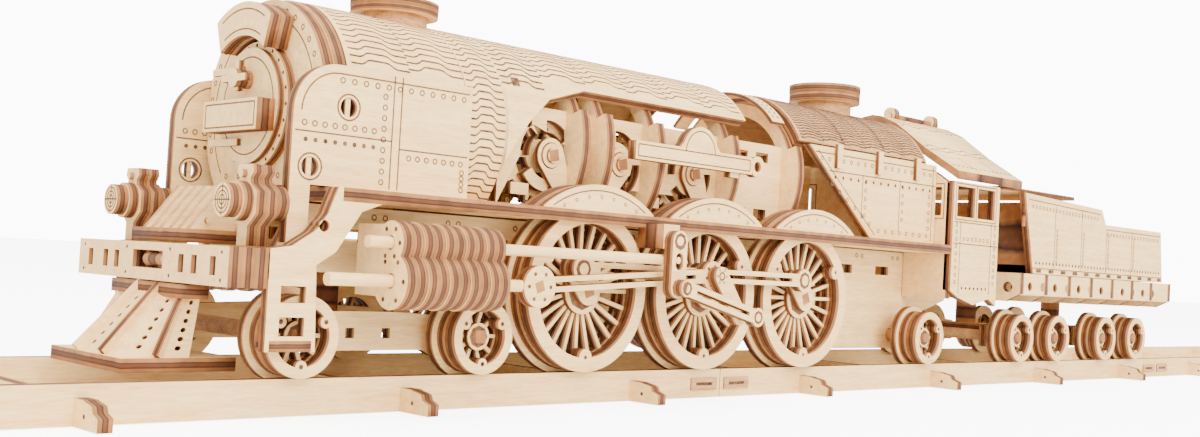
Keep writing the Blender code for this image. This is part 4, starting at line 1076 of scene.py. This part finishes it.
def round_stack(node, neck, layers):
    """A chimney or dome from cut rings. Each layer is (low, high, radius, bore)."""
    low, high = place_of(node)
    x = (low.x + high.x) / 2
    # the neck's side is in the darker veneer: painted shade under the cap
    parts = [cut(circle((x, 0), neck, 40), 90.5, layers[0][0], "XY", edge=DIM_AT)]
    for bottom, top, radius, bore in layers:
        holes = (circle((x, 0), bore, 32),) if bore else ()
        parts.append(cut(circle((x, 0), radius, 56), bottom, top - 0.05, "XY", holes))
    assemble(node, parts)


def name_bar(node, side):
    """A blank bar, its half-round panel and a small ring at the rear end."""
    inner = BOILER_R + 0.9
    outline = [(-191.2, 65.0), (-142.0, 65.0), (-142.0, 70.0), (-156.5, 70.0)]
    outline += arc((-165.0, 69.0), 7.4, 20, 160, 16) + [(-173.5, 70.0), (-191.2, 70.0)]
    parts = [cut(outline, *layer(side, inner, inner + PLY))]
    face = side * (inner + PLY)
    parts += line_on(frame_line((-190.2, 65.9), (-143.0, 69.1)), face)
    parts += line_on(arc((-165.0, 69.0), 6.2, 0, 180, 12), face)
    parts.append(cut(circle((-139.3, 67.5), 3.1, 28), *layer(side, inner + 0.1, inner + PLY - 0.1),
                     holes=(circle((-139.3, 67.5), 1.6, 18),)))
    parts.append(cut(rectangle((-150, 63.6), (-146, 65.2)), *layer(side, 27.0, inner + 1.5)))
    assemble(node, parts)


# ---------- firebox ----------

def firebox_cladding(node):
    low, high = place_of(node)
    parts = [shell(BOILER_R, BOILER_R - PLY, BOILER_Z, [(low.x, 25), (high.x, 25)], 48, look=DIM_AT)]
    reach = BOILER_R * math.radians(65) - 1.0
    parts.append(slit_sheet([(low.x + 1.5, high.x - 1.5, reach)], 1.15, 12.0, 0.5, 0.62, BOILER_R))
    assemble(node, parts)


def firebox_panel(node, side):
    low, high = place_of(node)
    outline = [(low.x, high.z), (high.x, high.z), (high.x, low.z), (low.x + 35, low.z)]
    parts = [cut(outline, *layer(side, 25.8, 28.74))]
    place = side * 28.74
    parts += line_on([(low.x + 3, high.z - 2.0), (high.x - 0.8, high.z - 2.0)], place)
    parts += line_on([(low.x + 10.5, 70.0), (high.x - 0.8, 70.0)], place)
    parts += line_on([(high.x - 2.2, low.z + 0.8), (high.x - 2.2, high.z - 0.8)], place)
    parts += line_on([(low.x + 37.5, low.z + 1.0), (low.x + 4.5, high.z - 1.5)], place)
    for x in (-82, -60):
        parts += line_on([(x, 70.0), (x, 53.0 if x > -70 else 56.0)], place)
        parts += rivet_row((x + 1.8, 68.0), (x + 1.8, 57.0), 5, place, 0.7)
    parts += rivet_row((low.x + 6.5, high.z - 3.8), (high.x - 4, high.z - 3.8), 17, place)
    parts += rivet_row((low.x + 14, 68.2), (high.x - 4, 68.2), 14, place, 0.6, filled=True)
    parts += rivet_row((low.x + 39.5, 52.4), (high.x - 5, 52.4), 8, place)
    parts += rivet_row((low.x + 12.5, 70.0 - 4.0), (low.x + 34, 54.5), 6, place)
    parts += rivet_row((high.x - 4.2, 55), (high.x - 4.2, 66), 5, place)
    for x in (-97.0, -74.0, -51.0):
        parts.append(cut(rectangle((x - 1.3, 71.0), (x + 1.3, high.z + 1.2)), *layer(side, 28.8, 30.2)))
    assemble(node, parts)


# ---------- cab ----------

def roof_height(y):
    """The roof's upper face above a distance from the middle."""
    eave, rise = 75.8, 22.0
    stops = [(0.0, 0.96), (3.9, 0.93), (10.5, 0.8), (23.0, 0.38), (36.5, 0.0)]
    for (y0, s0), (y1, s1) in zip(stops, stops[1:]):
        if abs(y) <= y1:
            return eave + rise * (s0 + (s1 - s0) * (abs(y) - y0) / (y1 - y0))
    return eave


def roof_outline(drop, half=36.5):
    places = [half, 30.0, 23.0, 16.5, 10.5, 7.0, 3.9, 0.0]
    right = [(y, roof_height(y) - drop) for y in places]
    return right + [(-y, z) for y, z in right[-2::-1]]


def draped(item, height):
    """Lays a flat drawing on a surface given as a height over Y."""
    for vertex in item.data.vertices:
        x, y, out = vertex.co / MM
        vertex.co = Vector((x, y, height(y) + out)) * MM
    return item


def cab_body(node):
    low, high = place_of(node)
    foot, top = 31.0, 72.2
    parts = []
    outline = [(low.x, foot + 3), (-31.9, foot + 0.7), (-21.3, foot - 1.8), (-10.8, foot + 0.6),
               (high.x, foot - 2), (high.x, top), (low.x, top)]
    windows = [rectangle((-34.7, 59.9), (-22.8, 70.6)), rectangle((-20.8, 59.9), (-8.9, 70.6))]
    for side in SIDES.values():
        parts.append(cut(outline, *layer(side, 33.0, SIDE_OUT), holes=windows))
        face = side * SIDE_OUT
        for (x0, z0), _, (x1, z1), _ in windows:
            parts += line_on(frame_line((x0 - 1, z0 - 1), (x1 + 1, z1 + 0.9)), face)
        parts += line_on([(low.x + 0.6, 50.5), (high.x - 0.6, 50.5)], face)
        for x in (-31.9, -10.8):
            parts += line_on([(x, foot + 2), (x, 58.4)], face)
        parts += line_on([(low.x + 1, 58.0), (high.x - 1, 58.0)], face)
        for x in (-34.5, -8.2):
            parts += rivet_row((x, 37), (x, 57), 9, face)
        parts += rivet_row((-29.5, 52.3), (-13.2, 52.3), 7, face)
        parts += rivet_row((-29.5, 35.0), (-13.2, 35.0), 7, face, 0.6, filled=True)
        parts.append(dowel((-7.0, side * 34.6, 46.0), 0.7, 14.0, "Z"))
    wall = roof_outline(6.0, 33.9)
    outline = [(34.0, top - 1)] + [(y, z) for y, z in wall if abs(y) < 33]
    outline += [(-34.0, top - 1), (-34.0, 46.6), (34.0, 46.6)]
    holes = [rectangle((y - 3.5, 60.0), (y + 3.5, 70.0)) for y in (-27.5, 27.5)]
    parts.append(cut(outline, low.x, low.x + PLY, "YZ", holes))
    for y in (-27.5, 27.5):
        parts += line_on(frame_line((y - 4.6, 58.9), (y + 4.6, 71.1)), low.x, "YZ")
    parts.append(block((low.x + 1, -34.0, 46.6), (high.x, 34.0, 49.6)))
    for x in (-26, -16):
        parts += line_on([(x, -32.5), (x, 32.5)], 49.6, "XY")
    for side in SIDES.values():
        near, far = layer(side, 16.7, 34.0)
        parts.append(cut(rectangle((near, foot), (far, 47.6)), low.x, low.x + PLY, "YZ"))
    bore = circle((0, 62.0), 5.4, 28)
    parts.append(cut(circle((0, 62.0), 9.5, 36), low.x + PLY + 0.02, low.x + 4.6, "YZ", (bore,)))
    parts += rivets([around(0, 62.0, 7.5, a) for a in range(0, 360, 30)], low.x + 4.6, "YZ", 0.7)
    assemble(node, parts)


def cab_roof(node):
    """A roof bent over on long slits, a ridge roll, and two pairs of knobs."""
    low, high = place_of(node)
    sheet = cut(roof_outline(0) + roof_outline(PLY)[::-1], low.x, high.x, "YZ")
    for side in sheet.data.polygons:
        side.material_index = EDGE_AT if abs(side.normal.x) > 0.5 or abs(side.normal.y) > 0.95 else FACE_AT
    parts = [sheet]
    slits = []
    for y in (4.6, 6.8, 9.0, 11.2, 21.8, 23.8):
        for side in SIDES.values():
            for column in range(4):
                start = low.x + 1.2 + column * 11.2
                slits.append(slit((start, side * y), 10.4, 0.8, 0.36))
    # the slits are drawn in the darkest char: partly char, partly painted shade through the cut
    parts.append(draped(cut(slits[0], -SKIN, SKIN, "XY", slits[1:], HOLE_AT, HOLE_AT), roof_height))
    for y in (-33.0, 33.0):
        dots = [circle((x, y), 0.6, 8) for x in range(-33, 9, 3)]
        parts.append(draped(cut(dots[0], -SKIN, SKIN, "XY", dots[1:], CHAR_AT, CHAR_AT), roof_height))
    seams = [rectangle((x - 0.2, -35.8), (x + 0.2, -26.2)) for x in (-20.0, -4.0)]
    seams += [rectangle((x - 0.2, 26.2), (x + 0.2, 35.8)) for x in (-20.0, -4.0)]
    parts.append(draped(cut(seams[0], -SKIN, SKIN, "XY", seams[1:], CHAR_AT, CHAR_AT), roof_height))
    peak = roof_height(0)
    parts.append(dowel(((low.x + high.x) / 2 + 3.7, 0, peak + 0.6), 1.4, 33.0, "X"))
    for x in (-25.0, 2.0):
        for offset in (0.0, 1.6):
            parts.append(cut(circle((0, peak + 1.6), 2.5, 20), x + offset, x + offset + 1.4, "YZ"))
    assemble(node, parts)


# ---------- tender ----------

def tender_body(node):
    front, rear, floor, top, step, deck = 13.7, 139.3, 42.0, 71.9, 78.0, 64.0
    outline = [(front + 8, floor), (rear, floor), (rear - 3, deck), (step + 4, deck), (step, top - 2),
               (front, top)]
    parts = []
    for side in SIDES.values():
        parts.append(cut(outline, *layer(side, 33.0, SIDE_OUT)))
        face = side * SIDE_OUT
        parts += line_on([(front + 7.5, floor + 2), (rear - 0.8, floor + 2)], face)
        parts += line_on([(front + 2.6, top - 2.2), (step - 1.5, top - 4.0)], face)
        parts += line_on([(step + 4, deck - 2.0), (rear - 3.2, deck - 2.0)], face)
        for x in (38.0, 60.5, 83.0, 107.0):
            parts += line_on([(x, floor + 2), (x, (top - 3.6) if x < step else deck - 2)], face)
            parts += rivet_row((x + 1.9, floor + 5), (x + 1.9, deck - 5), 8, face)
        parts += rivet_row((front + 10, floor + 4.0), (rear - 4, floor + 4.0), 42, face, 0.6, filled=True)
        parts += rivet_row((step + 6, deck - 3.9), (rear - 6, deck - 3.9), 18, face)
        parts += rivet_row((front + 6, top - 4.6), (step - 4, top - 6.0), 21, face)
        # slots drawn in the darkest char: partly char, partly painted shade in each slot
        for x in range(24, 136, 10):
            parts.append(cut(rectangle((x, floor + 0.4), (x + 4, floor + 1.7)), face - 0.06, face + 0.06,
                             face=HOLE_AT, edge=CHAR_AT))
        parts.append(dowel((front + 1.8, side * 34.5, 66.0), 0.7, 13.0, "Z"))
    parts.append(block((front + 9, -34, floor), (rear - 1, 34, floor + PLY)))
    parts.append(block((step, -34, deck - PLY), (rear - 4, 34, deck - 0.5)))
    parts.append(block((step, -34, deck - PLY), (step + PLY, 34, top - 4)))
    parts.append(block((front + 9, -34, floor), (front + 12, 34, top - 3)))
    parts.append(block((rear - 7, -34, floor), (rear - 4, 34, deck - 1)))
    for y in (-20, 0, 20):
        parts += rivets(row((y, floor + 6), (y, deck - 6), 6), rear - 4, "YZ", 0.75)
        parts += line_on([(y + 2, floor + 3.5), (y + 2, deck - 1.5)], rear - 4, "YZ")
        parts += line_on([(step + 6, y), (rear - 5, y)], deck - 0.5, "XY")
    hatch = (step + 32, 0)
    parts.append(cut(circle(hatch, 8.0, 36), deck - 0.46, deck + 1.6, "XY"))
    parts.append(cut(circle(hatch, 6.4, 32), deck + 1.64, deck + 3.4, "XY"))
    parts.append(cut(rectangle((hatch[0] - 5, -1), (hatch[0] + 5, 1)), deck + 3.44, deck + 4.6, "XY"))
    for side in SIDES.values():
        near, far = layer(side, 14.0, 26.0)
        parts.append(block((front + 12.02, near, floor + 6), (front + 13.6, far, deck - 4)))
    assemble(node, parts)


def tender_top_board(node):
    low, high = place_of(node)
    parts = [block(tuple(low), (high.x, high.y, high.z - 0.03))]
    for y in (-22, -11, 0, 11, 22):
        parts += line_on([(low.x + 0.8, y), (high.x - 0.8, y)], high.z - 0.03, "XY")
    for x in (low.x + 2.5, high.x - 2.5):
        parts += rivets(row((x, -30), (x, 30), 13), high.z - 0.03, "XY", 0.75)
    assemble(node, parts)


def tender_frame(node):
    """Eight cross plates hung under the tank on a spine, with round holes and the rear buffer plate."""
    top, first, pitch, count = 41.7, 12.0, 19.1, 8
    last = first + (count - 1) * pitch
    outline = [(-36, top), (-36, 34.0), (-30, 31.0), (30, 31.0), (36, 34.0), (36, top)]
    holes = [circle((y, 36.4), 2.0, 16) for y in (-31, -24, -17, 17, 24, 31)]
    parts = []
    for index in range(count):
        x = first + index * pitch
        parts.append(cut(outline, x, x + PLY, "YZ", holes))
    for side in SIDES.values():
        near, far = layer(side, 10.0, 13.0)
        parts.append(block((-5.3, near, 34.0), (last + 1, far, top - 1)))
        lugs = [circle((x, 36.9), 1.7, 16) for x in range(20, 140, 10)]
        sill = rectangle((first + 1, 33.6), (last + 2, top))
        parts.append(cut(sill, *layer(side, 33.6, 35.9), holes=lugs))
    parts.append(block((-5.3, -13.0, 34.0), (first + 1, 13.0, 37.0)))
    parts.append(block((first + 1, -13.0, 31.0), (last + 1, 13.0, 33.5)))
    parts.append(block((last - 2, -26.0, 34.0), (last + 7, 26.0, 40.0)))
    plate = [(-20, 34), (20, 34), (20, 46), (14, 54), (-14, 54), (-20, 46)]
    parts.append(cut(plate, last + 5, last + 8, "YZ", [circle((y, 44), 2.2, 18) for y in (-10, 0, 10)]))
    parts += rivets([around(0, 44, 4.4, a) for a in range(0, 360, 60)], last + 8, "YZ", 0.7)
    assemble(node, parts)


# ---------- the whole model ----------

def build():
    for name in ("front", "middle", "rear"):
        track_section(f"track_{name}")
    for make in (main_frame, buffer_beam, cowcatcher, front_grille, smokebox_front, headboard, smokebox_door,
                 boiler_cladding, boiler_ribs):
        make(make.__name__)
    for name, x, level in zip(("front", "middle", "rear"), HUBS, (0, 1, 0)):
        boiler_gear(f"boiler_gear_{name}", x, level)
    round_stack("chimney", 8.4, [(96.1, 97.8, 11.1, 0), (97.8, 99.6, 11.2, 8.0)])
    round_stack("steam_dome", 9.3, [(97.1, 100.0, 12.3, 0), (100.0, 103.0, 12.4, 8.7)])
    for make in (firebox_cladding, cab_body, cab_roof, tender_body, tender_top_board, tender_frame):
        make(make.__name__)
    axles = driver_places()
    for name, side in SIDES.items():
        for make in (running_board, smoke_deflector, lantern, name_bar, cylinder, firebox_panel):
            make(f"{make.__name__}_{name}", side)
        rods(name, axles)
    for name, (x, z) in zip(("front", "middle", "rear"), axles):
        driving_wheels(f"driving_wheels_{name}", x, z, name == "middle")
    bogie("leading_bogie", (-291.0, -241.4), 30.5)
    bogie("tender_bogie_front", (21.6, 51.2), 30.7)
    bogie("tender_bogie_rear", (93.4, 123.0), 30.7)
    for node, body in BODY_OF.items():
        if "axle" in body and not node.startswith("driving"):
            carrier_wheels(node)


add_camera()
add_studio()
build()
